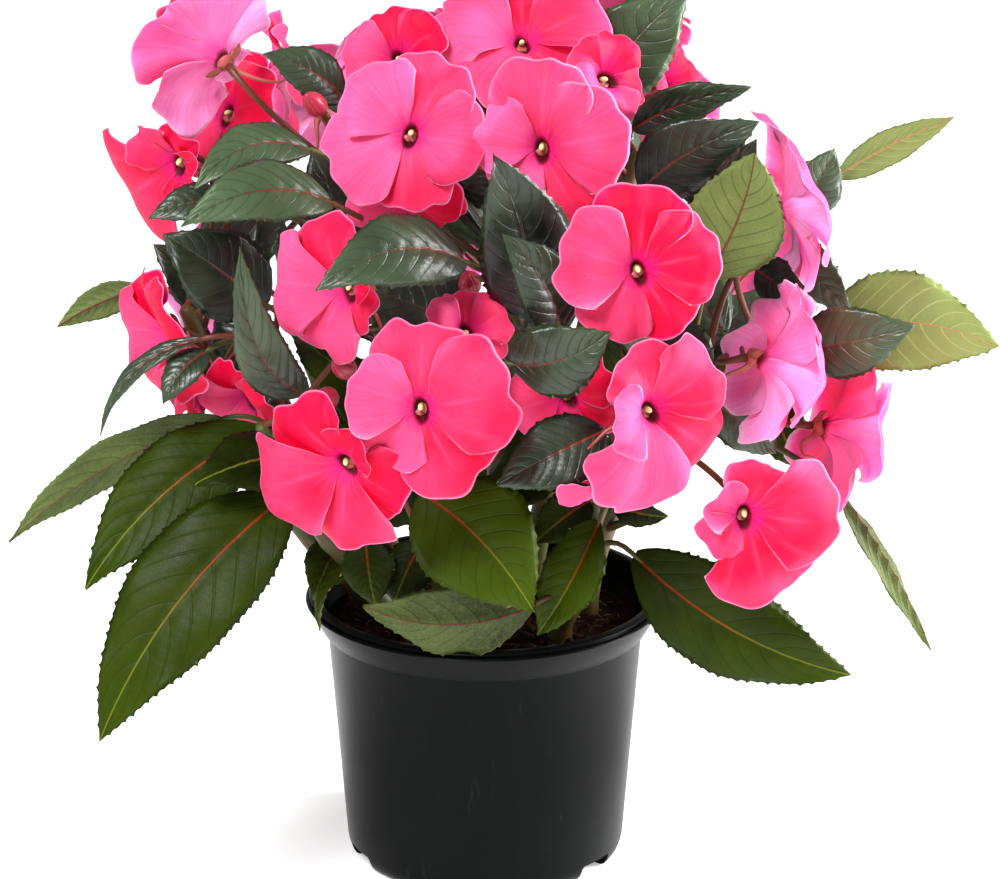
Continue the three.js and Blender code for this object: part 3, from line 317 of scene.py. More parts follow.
class Surface:
    """Grids and tubes gathered into one mesh. Each point keeps its place on the form, its place in
    millimetres, and a tint: how light it is drawn, which on leaves and blooms is partly painted light
    and shade, a chance value, how red it is, and a spare value."""

    def __init__(self):
        self.points, self.maps, self.sizes, self.tints = [], [], [], []
        self.faces, self.kinds = [], []
        self.count = 0

    def put(self, points, maps, sizes, tint):
        points = np.asarray(points, float).reshape(-1, 3)
        first = self.count
        self.points.append(points)
        self.maps.append(np.asarray(maps, float).reshape(-1, 2))
        self.sizes.append(np.asarray(sizes, float).reshape(-1, 2))
        self.tints.append(np.broadcast_to(np.asarray(tint, float), (len(points), 4)))
        self.count += len(points)
        return first

    def walls(self, first, rings, sides, kinds):
        ring, side = np.meshgrid(np.arange(rings - 1), np.arange(sides), indexing="ij")
        after = (side + 1) % sides
        low, high = first + ring * sides, first + (ring + 1) * sides
        quads = np.stack([low + side, low + after, high + after, high + side], -1).reshape(-1, 4)
        self.faces.extend(quads.tolist())
        self.kinds.extend(np.broadcast_to(kinds, (rings - 1, sides)).ravel().tolist())

    def face(self, corners, kind):
        self.faces.append(corners)
        self.kinds.append(kind)

    def loft(self, points, sides, maps, sizes, tint=(0, 0, 0, 0), kind=0):
        """Rings of points, joined into a closed form with flat ends."""
        first = self.put(points, maps, sizes, tint)
        last = self.count - sides
        self.walls(first, (self.count - first) // sides, sides, kind)
        self.face(list(range(first + sides - 1, first - 1, -1)), kind)
        self.face(list(range(last, last + sides)), kind)

    def tube(self, points, radii, sides, tint, kind=0):
        points = np.asarray(points, float)
        steps = np.gradient(points, axis=0)
        across = np.array([1.0, 0, 0]) if abs(unit(steps[0])[2]) > 0.9 else UPWARD
        angles = 2 * math.pi * np.arange(sides) / sides
        rings = []
        for point, step, radius in zip(points, steps, radii):
            along = unit(step)
            across = unit(across - along * across.dot(along))
            third = np.cross(along, across)
            spokes = np.outer(np.cos(angles), across) + np.outer(np.sin(angles), third)
            rings.append(point + spokes * radius)
        far = np.concatenate([[0], np.cumsum(np.linalg.norm(np.diff(points, axis=0), axis=1))])
        share, turn = np.meshgrid(far / far[-1], angles / (2 * math.pi), indexing="ij")
        sizes = np.stack([share * far[-1], turn * 2 * math.pi * np.mean(radii)], -1)
        self.loft(rings, sides, np.stack([share, turn], -1), sizes, tint, kind)

    def blade(self, front, back, maps, sizes, tint, front_kind, back_kind):
        """A thin closed sheet. The front and back rows share their two edges."""
        rows, columns = front.shape[:2]

        def ring(a, b):
            return np.concatenate([a, b[:, -2:0:-1]], 1)

        sides = 2 * columns - 2
        first = self.put(ring(front, back), ring(maps, maps), ring(sizes, sizes), tint)
        kinds = np.array([front_kind] * (columns - 1) + [back_kind] * (columns - 1))
        self.walls(first, rows, sides, kinds[None, :])
        for start, turned in ((first, True), (first + (rows - 1) * sides, False)):
            for k in range(columns - 1):
                corners = [start + k, start + k + 1]
                corners += [start + (sides - k - 1) % sides, start + (sides - k) % sides]
                corners = list(dict.fromkeys(corners))
                self.face(corners[::-1] if turned else corners, front_kind)

    def mesh(self, name):
        made = bpy.data.meshes.new(name)
        made.from_pydata((np.concatenate(self.points) / METRE).tolist(), [], self.faces)
        return made


def add_object(name, data):
    made = bpy.data.objects.new(name, data)
    bpy.context.scene.collection.objects.link(made)
    return made


def build(name, surface, materials, node):
    mesh = surface.mesh(name)
    corners = np.concatenate([np.asarray(face) for face in surface.faces])
    mesh.polygons.foreach_set("material_index", surface.kinds)
    mesh.polygons.foreach_set("use_smooth", [True] * len(surface.faces))
    for layer, values in (("form", surface.maps), ("size", surface.sizes)):
        uv = mesh.uv_layers.new(name=layer)
        uv.data.foreach_set("uv", np.concatenate(values)[corners].astype(np.float32).ravel())
    tint = mesh.color_attributes.new("tint", "FLOAT_COLOR", "POINT")
    tint.data.foreach_set("color", np.concatenate(surface.tints).astype(np.float32).ravel())
    for material in materials:
        mesh.materials.append(material)
    mesh.update()
    made = add_object(name, mesh)
    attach(made, "root")
    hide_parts(node)
    return made


# Leaves: their outline, margin, veins and relief
LEAF_BASE_POWER = 0.75
LEAF_TIP_POWER = 1.1
LEAF_WIDEST = 0.405
LEAF_HALF_THICKNESS = 0.3
TOOTH_SAMPLES = 4
TOOTH_HEIGHTS = np.array([0, 0.12, 0.36, 1])
TOOTH_WIDTH_SHARE = 0.03
TALLEST_TOOTH = 1.15
VEIN_COUNT = 9
VEIN_SWEEP = 0.25
VEIN_SWEEP_POWER = 1.3
QUILT_HEIGHT = 0.55
VEIN_DEPTH = 0.3
RIB_GROOVE = 0.55
RIB_HEIGHT = 0.9
RIPPLE_WIDTH_SHARE = 0.03
WARM_LEAVES_BELOW = 172
# Spacing of the teeth and points across the blade
SEEN_LEAF_MESH = (3.4, 15)
HIDDEN_LEAF_MESH = (4.6, 11)
# Kinds of face on the foliage, in the order of its materials
COOL_FACE, BACK_FACE, STALK_FACE, WARM_FACE = range(4)


def leaf_swell(share):
    return share**LEAF_BASE_POWER * (1 - share) ** LEAF_TIP_POWER


def leaf_profile(share):
    return leaf_swell(np.clip(share, 0, 1)) / leaf_swell(LEAF_WIDEST)


class Leaf:
    def __init__(self, base, tip, facing, turn, arch, bend, width, fold):
        chord = tip - base
        self.base, self.tip, self.width, self.fold = base, tip, width, fold
        self.length = np.linalg.norm(chord)
        along = chord / self.length
        upright = unit(facing - along * facing.dot(along))
        lean = radians(turn)
        self.normal = upright * math.cos(lean) + np.cross(along, upright) * math.sin(lean)
        self.side = np.cross(along, self.normal)
        self.control = (
            (base + tip) / 2
            + self.normal * 2 * arch * self.length
            + self.side * 2 * bend * self.length
        )

    def point(self, along, across, extra=0):
        reach = self.width / 2 * leaf_profile(along) * np.abs(across) + extra
        lift = math.sin(radians(self.fold)) * reach - 0.5 * reach * reach / self.width
        sideways = np.sign(across) * reach * math.cos(radians(self.fold))
        middle = bezier(self.base, self.control, self.tip, along)
        return middle + self.side * sideways[..., None] + self.normal * lift[..., None]

    def spread(self, stem, share):
        root = stem_point(stem, share)
        stalk = [mix(root, self.base, part) for part in (0.3, 0.45, 0.6, 0.75, 0.9)]
        places = []
        along = 0.05
        while along < 1:
            places.append(along)
            along += 0.1
        u, v = np.meshgrid(places, [-1, -0.5, 0, 0.5, 1], indexing="ij")
        return np.concatenate([stalk, self.point(u, v).reshape(-1, 3)])


def grow_leaf(surface, leaf, stem, share, tint, tooth_spacing, columns, phases):
    teeth = max(8, round(leaf.length / tooth_spacing))
    rows = teeth * TOOTH_SAMPLES + 1
    u, v = np.meshgrid(np.linspace(0.012, 0.997, rows), np.linspace(-1, 1, columns), indexing="ij")
    across = np.abs(v)
    edge = across == 1
    saw = TOOTH_HEIGHTS[np.arange(rows) % TOOTH_SAMPLES][:, None]
    fade = smooth(u, 0.04, 0.2) * (1 - smooth(u, 0.93, 1))
    spikes = 0.75 + 0.35 * np.sin(7.3 * np.arange(rows) + 9 * phases[0])[:, None]
    tallest = min(TALLEST_TOOTH, leaf.width * TOOTH_WIDTH_SHARE)
    tooth = np.where(edge, saw * spikes * fade * tallest + 0.1, 0)
    phase = (u - VEIN_SWEEP * across**VEIN_SWEEP_POWER) * VEIN_COUNT + np.where(v > 0, 0.5, 0)
    away = np.abs(phase - np.round(phase))
    inner = (1 - across**4) * smooth(u, 0.02, 0.16) * (1 - smooth(u, 0.86, 1))
    quilt = QUILT_HEIGHT * np.sin(np.pi * away) - VEIN_DEPTH * np.exp(-((away / 0.12) ** 2))
    quilt = min(0.9, 20 / leaf.width) * quilt
    reach = leaf.width / 2 * leaf_profile(u) * across
    groove = -RIB_GROOVE * np.exp(-((reach / 1.1) ** 2)) * (1 - u)
    wave = np.sin(2 * math.pi * (3.1 * u + phases[0] + 0.37 * np.sign(v)))
    curl = np.sin(2 * math.pi * (1.3 * u + phases[1])) * 0.7
    ripple = leaf.width * RIPPLE_WIDTH_SHARE * across**3 * (wave + curl) * smooth(u, 0, 0.3)
    relief = quilt * inner + groove + ripple
    middle = leaf.point(u, v, tooth) + leaf.normal * relief[..., None]
    thickness = (LEAF_HALF_THICKNESS * np.sqrt(1 - across * 0.999))[..., None] * leaf.normal
    rib = RIB_HEIGHT * np.exp(-((reach / 0.9) ** 2)) * mix(1, 0.3, u) * smooth(1 - u, 0, 0.1)
    front, back = middle + thickness, middle - thickness - rib[..., None] * leaf.normal
    back[edge] = front[edge]
    sizes = np.stack([u * leaf.length, np.sign(v) * reach], -1)
    maps = np.stack([u, v * 0.5 + 0.5], -1)
    # Leaves above WARM_LEAVES_BELOW take the cool look, with its painted silvery sheen
    is_low = (leaf.base[2] + leaf.tip[2]) / 2 < WARM_LEAVES_BELOW
    surface.blade(front, back, maps, sizes, tint, WARM_FACE if is_low else COOL_FACE, BACK_FACE)
    root = stem_point(stem, share)
    bow = leaf.base - unit(leaf.control - leaf.base) * STALK_BOW * np.linalg.norm(root - leaf.base)
    shares = np.linspace(0, 1, 11)
    stalk = bezier(leaf.base, bow, root, shares)
    ahead = bezier(leaf.base, leaf.control, leaf.tip, np.array([0.07]))
    stalk = np.concatenate([ahead - leaf.normal * 0.9, stalk])
    size = STALK_RADIUS * np.concatenate([[0.45], mix(0.8, 1.5, shares**2)])
    # The stalk takes the leaf's tint, so its lightness carries the same painted shade and highlight
    surface.tube(stalk, size, 8, tint, STALK_FACE)


# Blooms
class Bloom:
    def __init__(self, centre, heading, rise, turn, radius, cup, sizes, tone=0.0):
        self.centre, self.radius, self.cup = centre, radius, cup
        self.sizes, self.tone = sizes, tone
        self.normal = pointing(radians(heading), radians(rise))
        upright = unit(UPWARD - self.normal * self.normal[2])
        turn = radians(turn)
        self.up = upright * math.cos(turn) + np.cross(self.normal, upright) * math.sin(turn)
        self.across = np.cross(self.up, self.normal)

    def at(self, angle, distance, forward):
        angle, distance, forward = np.broadcast_arrays(angle, distance, forward)
        return (
            self.centre
            + self.up * (distance * np.cos(angle))[..., None]
            - self.across * (distance * np.sin(angle))[..., None]
            + self.normal * np.asarray(forward, float)[..., None]
        )

    def dish(self, share):
        return self.cup * (CUP_RISE * share - CUP_CURL * share**3)

    def petal(self, petal, outward, across):
        angle = 2 * math.pi * petal / PETAL_COUNT + radians(PETAL_HALF_ANGLE) * across
        corner = PETAL_CORNER * np.abs(across) ** PETAL_CORNER_POWER
        notch = PETAL_NOTCH * np.exp(-across * across * PETAL_NOTCH_NARROWNESS)
        rim = PETAL_REACH - corner - notch
        distance = self.radius * self.sizes[petal] * mix(1, rim, outward * outward) * outward
        share = distance / self.radius
        return self.at(angle, distance, self.dish(share) + PETAL_LAP * across * share)

    def spread(self):
        outward, across = np.meshgrid([0.35, 0.7, 1], [-0.8, -0.3, 0.3], indexing="ij")
        petals = [self.petal(k, outward, across).reshape(-1, 3) for k in range(PETAL_COUNT)]
        return np.concatenate([[self.centre], *petals])


# Petals from the top one, counter-clockwise: half width in degrees, how far each lies in front of
# the dish at its rim, and how much paler it is drawn: a painted sheen of the key light on the left
# petals and painted shade on the others. The side petals lie over the top and lower ones.
PETAL_SPREADS = [52, 54, 50, 50, 54]
PETAL_LAYERS = [0, 3.4, -1.8, -3.4, 2.7]
PETAL_SHEEN = [-0.24, 0.3, 0.26, -0.18, -0.2]
LOWER_PETALS = (2, 3)
PETAL_HALF_THICKNESS = 0.24
USUAL_RADIUS = 28
RIM_REACH = 1.03
RIM_CORNER = 0.3
RIM_LOBES = 0.028
RIM_RIPPLES = 0.014
RIM_NOTCH = 0.07
WAVE_HEIGHT = 2.3
FLUTTER_HEIGHT = 0.55
SIDE_ROLL = (-1.8, 4.6)
LOWER_ROLL_SHARE = 0.6
RIM_CURL = (-3.2, 0.6)
FURROW_DEPTH = 0.6
THROAT_DIRECTION = 196
THROAT_DEPTH = 3.6
THROAT_HALF_LENGTH = 4.2
THROAT_HALF_WIDTH = 2.4
# Points along and across a petal
SEEN_PETAL_MESH = (24, 33)
FAR_PETAL_MESH = (20, 27)
# Kinds of face on a bloom, in the order of its materials
PETAL_FACE, PETAL_BACK_FACE, CALYX_FACE, COLUMN_FACE = range(4)


def grow_petal(surface, bloom, petal, slant, draw, rows, columns):
    scale = bloom.radius / USUAL_RADIUS
    outward, across = np.meshgrid(
        np.linspace(0.02, 1, rows) ** 0.9, np.linspace(1, -1, columns), indexing="ij"
    )
    chance = [next(draw) for _ in range(9)]
    narrow = mix(0.72, 1, smooth(outward, 0.04, 0.4))
    angle = 2 * math.pi * petal / PETAL_COUNT
    angle = angle + radians(PETAL_SPREADS[petal]) * across * narrow
    away = np.abs(across)
    lobes = RIM_LOBES * np.sin(2 * math.pi * (0.9 * across + chance[0]))
    lobes = lobes + RIM_RIPPLES * np.sin(2 * math.pi * (2.3 * across + chance[1]))
    notch = RIM_NOTCH * np.exp(-(((across - 0.5 * (chance[2] - 0.5)) / 0.14) ** 2))
    rim = RIM_REACH - RIM_CORNER * away**3.2 - notch + lobes
    distance = bloom.radius * bloom.sizes[petal] * mix(1, rim, outward * outward) * outward
    share = distance / bloom.radius
    layer = PETAL_LAYERS[petal] * smooth(share, 0.1, 0.75)
    wave = WAVE_HEIGHT * np.sin(2 * math.pi * (0.85 * across + chance[3])) * outward**2
    flutter = FLUTTER_HEIGHT * np.sin(2 * math.pi * (2.2 * across + chance[4])) * outward**4
    roll = mix(*SIDE_ROLL, chance[5]) * smooth(across, 0.4, 1.1)
    roll = roll + mix(*SIDE_ROLL, chance[6]) * smooth(-across, 0.4, 1.1)
    roll = roll * outward**1.5 * (LOWER_ROLL_SHARE if petal in LOWER_PETALS else 1)
    curl = mix(*RIM_CURL, chance[7]) * smooth(outward, 0.72, 1.05)
    furrow = -FURROW_DEPTH * np.exp(-((across / 0.16) ** 2)) * outward * (1.15 - outward)
    along, sideways = distance * np.cos(angle - slant), distance * np.sin(angle - slant)
    oval = ((along - 0.8) / THROAT_HALF_LENGTH) ** 2 + (sideways / THROAT_HALF_WIDTH) ** 2
    throat = -THROAT_DEPTH * np.exp(-oval * 0.8)
    lift = bloom.dish(share) + layer + throat
    lift = lift + scale * (wave + flutter + roll + curl + furrow)
    middle = bloom.at(angle, distance, lift)
    thickness = PETAL_HALF_THICKNESS * np.sqrt(1 - away * 0.999) * (1 - outward**6 * 0.9)
    thickness = thickness[..., None] * bloom.normal
    front, back = middle + thickness, middle - thickness
    back[:, 0], back[:, -1] = front[:, 0], front[:, -1]
    maps = np.stack([outward, across * 0.5 + 0.5], -1)
    sizes = np.stack([along, sideways], -1)
    # The tone adds the bloom's painted shade and the petal's painted sheen to its colour
    tone = bloom.tone + PETAL_SHEEN[petal] + 0.2 * (chance[8] - 0.5)
    tint = (tone, next(draw), scale, 1)
    surface.blade(front, back, maps, sizes, tint, PETAL_FACE, PETAL_BACK_FACE)


def grow_bloom(surface, bloom, swing, draw, rows, columns):
    slant = radians(THROAT_DIRECTION) + 0.35 * (next(draw) - 0.5)
    for petal in range(PETAL_COUNT):
        grow_petal(surface, bloom, petal, slant, draw, rows, columns)
    droop = 2 * math.pi * SPUR_PETAL / PETAL_COUNT
    spur = np.array(
        [
            bloom.at(droop, HUB_RADIUS * 0.3, -1.8),
            bloom.at(droop + swing * 0.3, 4, -4.6),
            bloom.at(droop + swing * 0.8, 7.4, -9.4),
            bloom.at(droop + swing, 11.5, -12.6),
            bloom.at(droop + swing * 1.1, 17.5, -13.6),
            bloom.at(droop + swing * 1.3, 21, -11.4),
        ]
    )
    shares = np.linspace(0, len(spur) - 1, 19)
    radii = np.interp(shares, [0, 1, 2, 5], [2.2, 1.1, 0.7, 0.35])
    surface.tube(through(spur, shares), radii, 8, (0.4, 0.5, 0, 0), CALYX_FACE)
    hub = bloom.at(0, 0, np.array([-HUB_BACK, -4.5, -4.1, -3.5, -2.6, -1.7]))
    hub_radii = [1.3, 1.5, 2.3, HUB_RADIUS * 0.92, HUB_RADIUS * 0.96, 2.2]
    surface.tube(hub, hub_radii, 14, (0.3, 0.3, 0, 0), CALYX_FACE)
    for side in (-1, 1):
        u, v = np.meshgrid(np.linspace(0, 1, 7), np.linspace(1, -1, 5), indexing="ij")
        half = 1.9 * np.sin(np.pi * np.clip(u * 0.9 + 0.1, 0, 1)) * v
        middle = bloom.at(droop + side * 1.9 + half / 6, 2.2 + 6.5 * u, -4.2 + 1.2 * u - 0.8 * v * v)
        shift = 0.15 * bloom.normal
        front, back = middle + shift, middle - shift
        back[:, 0], back[:, -1] = front[:, 0], front[:, -1]
        maps = np.stack([u, v * 0.5 + 0.5], -1)
        surface.blade(front, back, maps, maps * 6, (0.6, 0.2, 0, 0), CALYX_FACE, CALYX_FACE)
    forward = np.array([-3.4, -2.2, -1, 0.1, 1, 1.5])
    bend = np.array([-1.2, -1.1, -0.9, -0.5, 0, 0.5])
    column = bloom.at(slant, bend, forward)
    surface.tube(column, [0.75, 0.85, 0.9, 0.95, 0.85, 0.4], 10, (0.5, 0.5, 0, 0), COLUMN_FACE)


def through(points, shares):
    """A smooth curve through the points, at the given places counted in steps between them."""
    whole = np.minimum(shares.astype(int), len(points) - 2)
    part = (shares - whole)[:, None]
    before, after = np.maximum(whole - 1, 0), np.minimum(whole + 2, len(points) - 1)
    slope = (points[whole + 1] - points[before]) / 2
    next_slope = (points[after] - points[whole]) / 2
    rise = part * part * (3 - 2 * part)
    return (
        points[whole] * (1 - rise)
        + points[whole + 1] * rise
        + slope * part * (1 - part) ** 2
        - next_slope * part * part * (1 - part)
    )


def pedicel_points(stem, share, end, normal, steps):
    start = stem_point(stem, share)
    pull = min(PEDICEL_PULL, 0.5 * np.linalg.norm(start - end))
    control = end - normal * pull
    control[2] = mix(control[2], max(start[2], end[2] - PEDICEL_SAG), 0.4)
    return bezier(start, control, end, np.arange(steps + 1) / steps)


# Materials
def linear(red, green, blue):
    parts = np.array([red, green, blue]) / 255
    low, high = parts / 12.92, ((parts + 0.055) / 1.055) ** 2.4
    return (*np.where(parts <= 0.04045, low, high).tolist(), 1)


class Field:
    """A value that changes over a surface, so that what is made of it reads as a formula."""

    def __init__(self, shader, socket):
        self.shader, self.socket = shader, socket

    def __add__(self, other):
        return self.shader.math("ADD", self, other)

    def __sub__(self, other):
        return self.shader.math("SUBTRACT", self, other)

    def __mul__(self, other):
        return self.shader.math("MULTIPLY", self, other)

    def __truediv__(self, other):
        return self.shader.math("DIVIDE", self, other)

    def __pow__(self, other):
        return self.shader.math("POWER", self, other)

    def __abs__(self):
        return self.shader.math("ABSOLUTE", self)

    def ramp(self, low, high, start=0.0, end=1.0):
        ends = {"From Min": low, "From Max": high, "To Min": start, "To Max": end}
        inputs = {"Value": self, **ends}
        return self.shader.node("MapRange", 0, inputs, interpolation_type="SMOOTHSTEP")


class Shader:
    """A Principled material. Its patterns are fields, and its colours eight-bit values."""

    def __init__(self, name, roughness, **settings):
        self.material = bpy.data.materials.new(name)
        self.material.use_nodes = True
        self.tree = self.material.node_tree
        self.surface = self.tree.nodes["Principled BSDF"]
        self.surface.inputs["Roughness"].default_value = roughness
        for key, value in settings.items():
            self.surface.inputs[key.replace("_", " ")].default_value = value

    def put(self, socket, value):
        if isinstance(value, Field):
            self.tree.links.new(value.socket, socket)
        else:
            socket.default_value = value

    def node(self, kind, output, inputs, **settings):
        made = self.tree.nodes.new("ShaderNode" + kind)
        for key, value in settings.items():
            setattr(made, key, value)
        for key, value in inputs.items():
            self.put(made.inputs[key], value)
        return Field(self, made.outputs[output])

    def math(self, operation, *values):
        return self.node("Math", 0, dict(enumerate(values)), operation=operation)

    def mix(self, share, first, second):
        first, second = [
            part if isinstance(part, Field) else linear(*part) for part in (first, second)
        ]
        return self.node("Mix", 2, {0: share, 6: first, 7: second}, data_type="RGBA")

    def layer(self, name):
        whole = self.node("UVMap", 0, {}, uv_map=name)
        return whole, *[self.node("SeparateXYZ", part, {0: whole}) for part in (0, 1)]

    def tint(self):
        """How light the surface is drawn, on leaves and blooms partly painted light and shade, and how
        red it is.
        """
        whole = self.node("Attribute", "Color", {}, attribute_name="tint")
        return [self.node("SeparateColor", part, {0: whole}) for part in (0, 2)]

    def place(self):
        return self.node("TexCoord", "Object", {})

    def stretched(self, vector, scale):
        return self.node("Mapping", 0, {"Vector": vector, "Scale": scale})

    def noise(self, vector, scale, detail=3.0, roughness=0.5):
        inputs = {"Vector": vector, "Scale": scale, "Detail": detail, "Roughness": roughness}
        return self.node("TexNoise", "Fac", inputs)

    def cells(self, vector, scale, feature="DISTANCE_TO_EDGE"):
        inputs = {"Vector": vector, "Scale": scale}
        return self.node("TexVoronoi", "Distance", inputs, feature=feature)

    def bump(self, height, strength, distance):
        inputs = {"Height": height, "Strength": strength, "Distance": distance}
        self.put(self.surface.inputs["Normal"], self.node("Bump", 0, inputs))

    def colour(self, value):
        self.put(self.surface.inputs["Base Color"], value)

    def gloss(self, value):
        self.put(self.surface.inputs["Roughness"], value)


# The sign tells whether veins stand out, as on the underside, or lie sunk
LEAF_LOOKS = {
    # The cool look is for the upper leaves: its bluish grey pale colour is leaf green with a painted
    # silvery sheen
    "cool": {
        "dark": (6, 12, 7),
        "pale": (80, 102, 66),
        # vein and low_vein here are painted shade in the sunken vein creases
        "vein": (8, 15, 9),
        "low_vein": (8, 15, 9),
        "rib": (118, 34, 26),
        "rib_end": (52, 50, 28),
        "rim": (84, 106, 40),
        "vein_share": 0.34,
        "gloss": 0.22,
        "specular": 0.46,
        "sign": -1.0,
    },
    "warm": {
        "dark": (5, 11, 0),
        "pale": (61, 79, 0),
        "vein": (22, 34, 2),
        "low_vein": (22, 34, 2),
        "rib": (140, 44, 22),
        "rib_end": (108, 116, 36),
        "rim": (70, 88, 12),
        "vein_share": 0.2,
        "gloss": 0.3,
        "specular": 0.08,
        "sign": -1.0,
    },
    "underside": {
        "dark": (38, 48, 12),
        "pale": (130, 148, 82),
        "vein": (178, 188, 126),
        "low_vein": (40, 34, 10),
        "rib": (96, 26, 24),
        "rib_end": (170, 120, 92),
        "rim": (132, 150, 50),
        "vein_share": 0.42,
        "gloss": 0.42,
        "specular": 0.16,
        "sign": 1.0,
    },
}


def leaf_material(look_name):
    look = LEAF_LOOKS[look_name]
    shader = Shader("leaf_" + look_name, 0.4, Specular_IOR_Level=look["specular"])
    _, along, side = shader.layer("form")
    size, _, reach = shader.layer("size")
    light, red = shader.tint()
    across = abs(side * 2.0 - 1.0)
    half = shader.math("GREATER_THAN", side, 0.5) * 0.5
    phase = (along - across**VEIN_SWEEP_POWER * VEIN_SWEEP) * VEIN_COUNT + half
    vein = shader.math("PINGPONG", phase, 0.5).ramp(0.01, 0.09, 1.0, 0.0)
    vein = vein * across.ramp(0.72, 0.98, 1.0, 0.0)
    rib = (abs(reach) / (along * -0.45 + 0.8)).ramp(0.35, 1.0, 1.0, 0.0)
    net = shader.cells(shader.stretched(size, (0.6, 0.6, 0.6)), 0.9).ramp(0.0, 0.1, 1.0, 0.0)
    patches = shader.noise(shader.place(), 60.0, 4.0, 0.6)
    grain = shader.noise(shader.place(), 900.0, 2.0)
    # light is partly painted shade and highlight, so the body, the vein colour and the underside's rib
    # end follow painted light
    tone = light + (patches * 0.5 - 0.27) + (along * 0.3 - 0.14)
    body = shader.mix(tone, look["dark"], look["pale"])
    body = shader.mix(net * 0.06, body, look["vein"])
    brightness = light.ramp(0.55, 0.8)
    vein_colour = shader.mix(brightness, look["low_vein"], look["vein"])
    body = shader.mix(vein * look["vein_share"], body, vein_colour)
    rib_end = brightness if look_name == "underside" else along.ramp(0.3, 0.7)
    rib_colour = shader.mix(rib_end, look["rib"], look["rib_end"])
    body = shader.mix(rib * (red * 0.4 + 0.45), body, rib_colour)
    shader.colour(shader.mix(across.ramp(0.975, 1.0) * 0.4, body, look["rim"]))
    shader.gloss(patches * 0.24 + look["gloss"])
    height = (vein * 0.45 + rib * 0.6 + net * 0.07) * look["sign"]
    shader.bump(height + grain * 0.12, 0.5, 0.0006)
    return shader.material


def stem_material():
    shader = Shader("stalk_skin", 0.42, Specular_IOR_Level=0.3)
    size, _, _ = shader.layer("size")
    light, red = shader.tint()
    patches = shader.noise(shader.place(), 80.0, 3.0)
    lines = shader.noise(shader.stretched(size, (0.06, 1.6, 1.0)), 1.0, 3.0)
    body = shader.mix(light, (30, 40, 16), (106, 124, 56))
    flush = shader.math("MAXIMUM", patches.ramp(0.35, 0.65), red.ramp(0.6, 0.8))
    body = shader.mix(flush * (red * 0.9 - 0.05), body, (104, 20, 22))
    shader.colour(shader.mix(lines * 0.35, body, (70, 26, 24)))
    shader.gloss(lines * 0.25 + 0.32)
    shader.bump(lines, 0.3, 0.0005)
    return shader.material


def petal_material(name, deep, pale, rim):
    shader = Shader(
        name,
        0.6,
        Specular_IOR_Level=0.1,
        Subsurface_Weight=0.3,
        Subsurface_Radius=(1.0, 0.3, 0.4),
        Subsurface_Scale=0.002,
    )
    form, outward, side = shader.layer("form")
    _, along, sideways = shader.layer("size")
    light, _ = shader.tint()
    across = abs(side * 2.0 - 1.0)
    rays = shader.noise(shader.stretched(form, (1.3, 26.0, 1.0)), 1.0, 4.0, 0.65)
    veins = rays.ramp(0.42, 0.62)
    patches = shader.noise(shader.place(), 38.0, 3.0)
    # light holds the petal's tone, with its painted shade and sheen
    body = shader.mix(light + (patches * 1.1 - 0.6), deep, pale)
    body = shader.mix(veins * 0.2, body, (214, 8, 70))
    # Pale satin streaks along the petal: painted sheen
    sheen_streaks = shader.noise(shader.stretched(form, (0.8, 6.0, 1.0)), 1.0, 2.0, 0.5)
    body = shader.mix(sheen_streaks.ramp(0.45, 0.8, 0.0, 0.22), body, (244, 120, 176))
    reach = shader.math("SQRT", along**2.0 + sideways**2.0)
    flush = reach.ramp(3.0, 9.5, 1.0, 0.0) * (veins * 0.35 + 0.5)
    body = shader.mix(flush, body, (206, 8, 112))
    oval = ((along - 0.9) / 4.6) ** 2.0 + (sideways / 2.7) ** 2.0
    body = shader.mix(oval.ramp(0.55, 1.5, 1.0, 0.0), body, (64, 4, 20))
    # The pale rim is painted light shining through the thin petal edge
    edge = shader.math("MAXIMUM", outward.ramp(0.972, 0.995), across.ramp(0.965, 1.0))
    shader.colour(shader.mix(edge * 0.55, body, rim))
    shader.gloss(patches * 0.2 + 0.48)
    grain = shader.noise(shader.place(), 1400.0, 2.0)
    shader.bump(rays + grain * 0.25, 0.35, 0.0004)
    return shader.material


def calyx_material():
    shader = Shader("calyx_skin", 0.45)
    light, _ = shader.tint()
    patches = shader.noise(shader.place(), 300.0, 3.0)
    body = shader.mix(patches, (150, 28, 48), (190, 82, 84))
    shader.colour(shader.mix(light * 0.5, body, (138, 120, 70)))
    shader.gloss(patches * 0.2 + 0.35)
    shader.bump(patches, 0.2, 0.0004)
    return shader.material


def column_material():
    shader = Shader("stamen_column", 0.85, Specular_IOR_Level=0.1)
    _, along, _ = shader.layer("form")
    patches = shader.noise(shader.place(), 900.0, 2.0)
    body = shader.mix(patches, (214, 190, 110), (240, 228, 186))
    shader.colour(shader.mix(along.ramp(0.45, 0.8, 1.0, 0.0), body, (128, 104, 34)))
    shader.bump(patches, 0.4, 0.0004)
    return shader.material


def bud_material():
    shader = Shader("bud_skin", 0.35, Coat_Weight=0.2, Coat_Roughness=0.25)
    _, along, side = shader.layer("form")
    patches = shader.noise(shader.place(), 250.0, 3.0)
    body = shader.mix(patches, (120, 14, 34), (196, 34, 70))
    shader.colour(shader.mix(along.ramp(0.0, 0.28, 0.8, 0.0), body, (84, 74, 36)))
    seams = shader.math("PINGPONG", side * 5.0, 0.5)
    shader.bump(seams.ramp(0.0, 0.14), 0.5, 0.0008)
    return shader.material


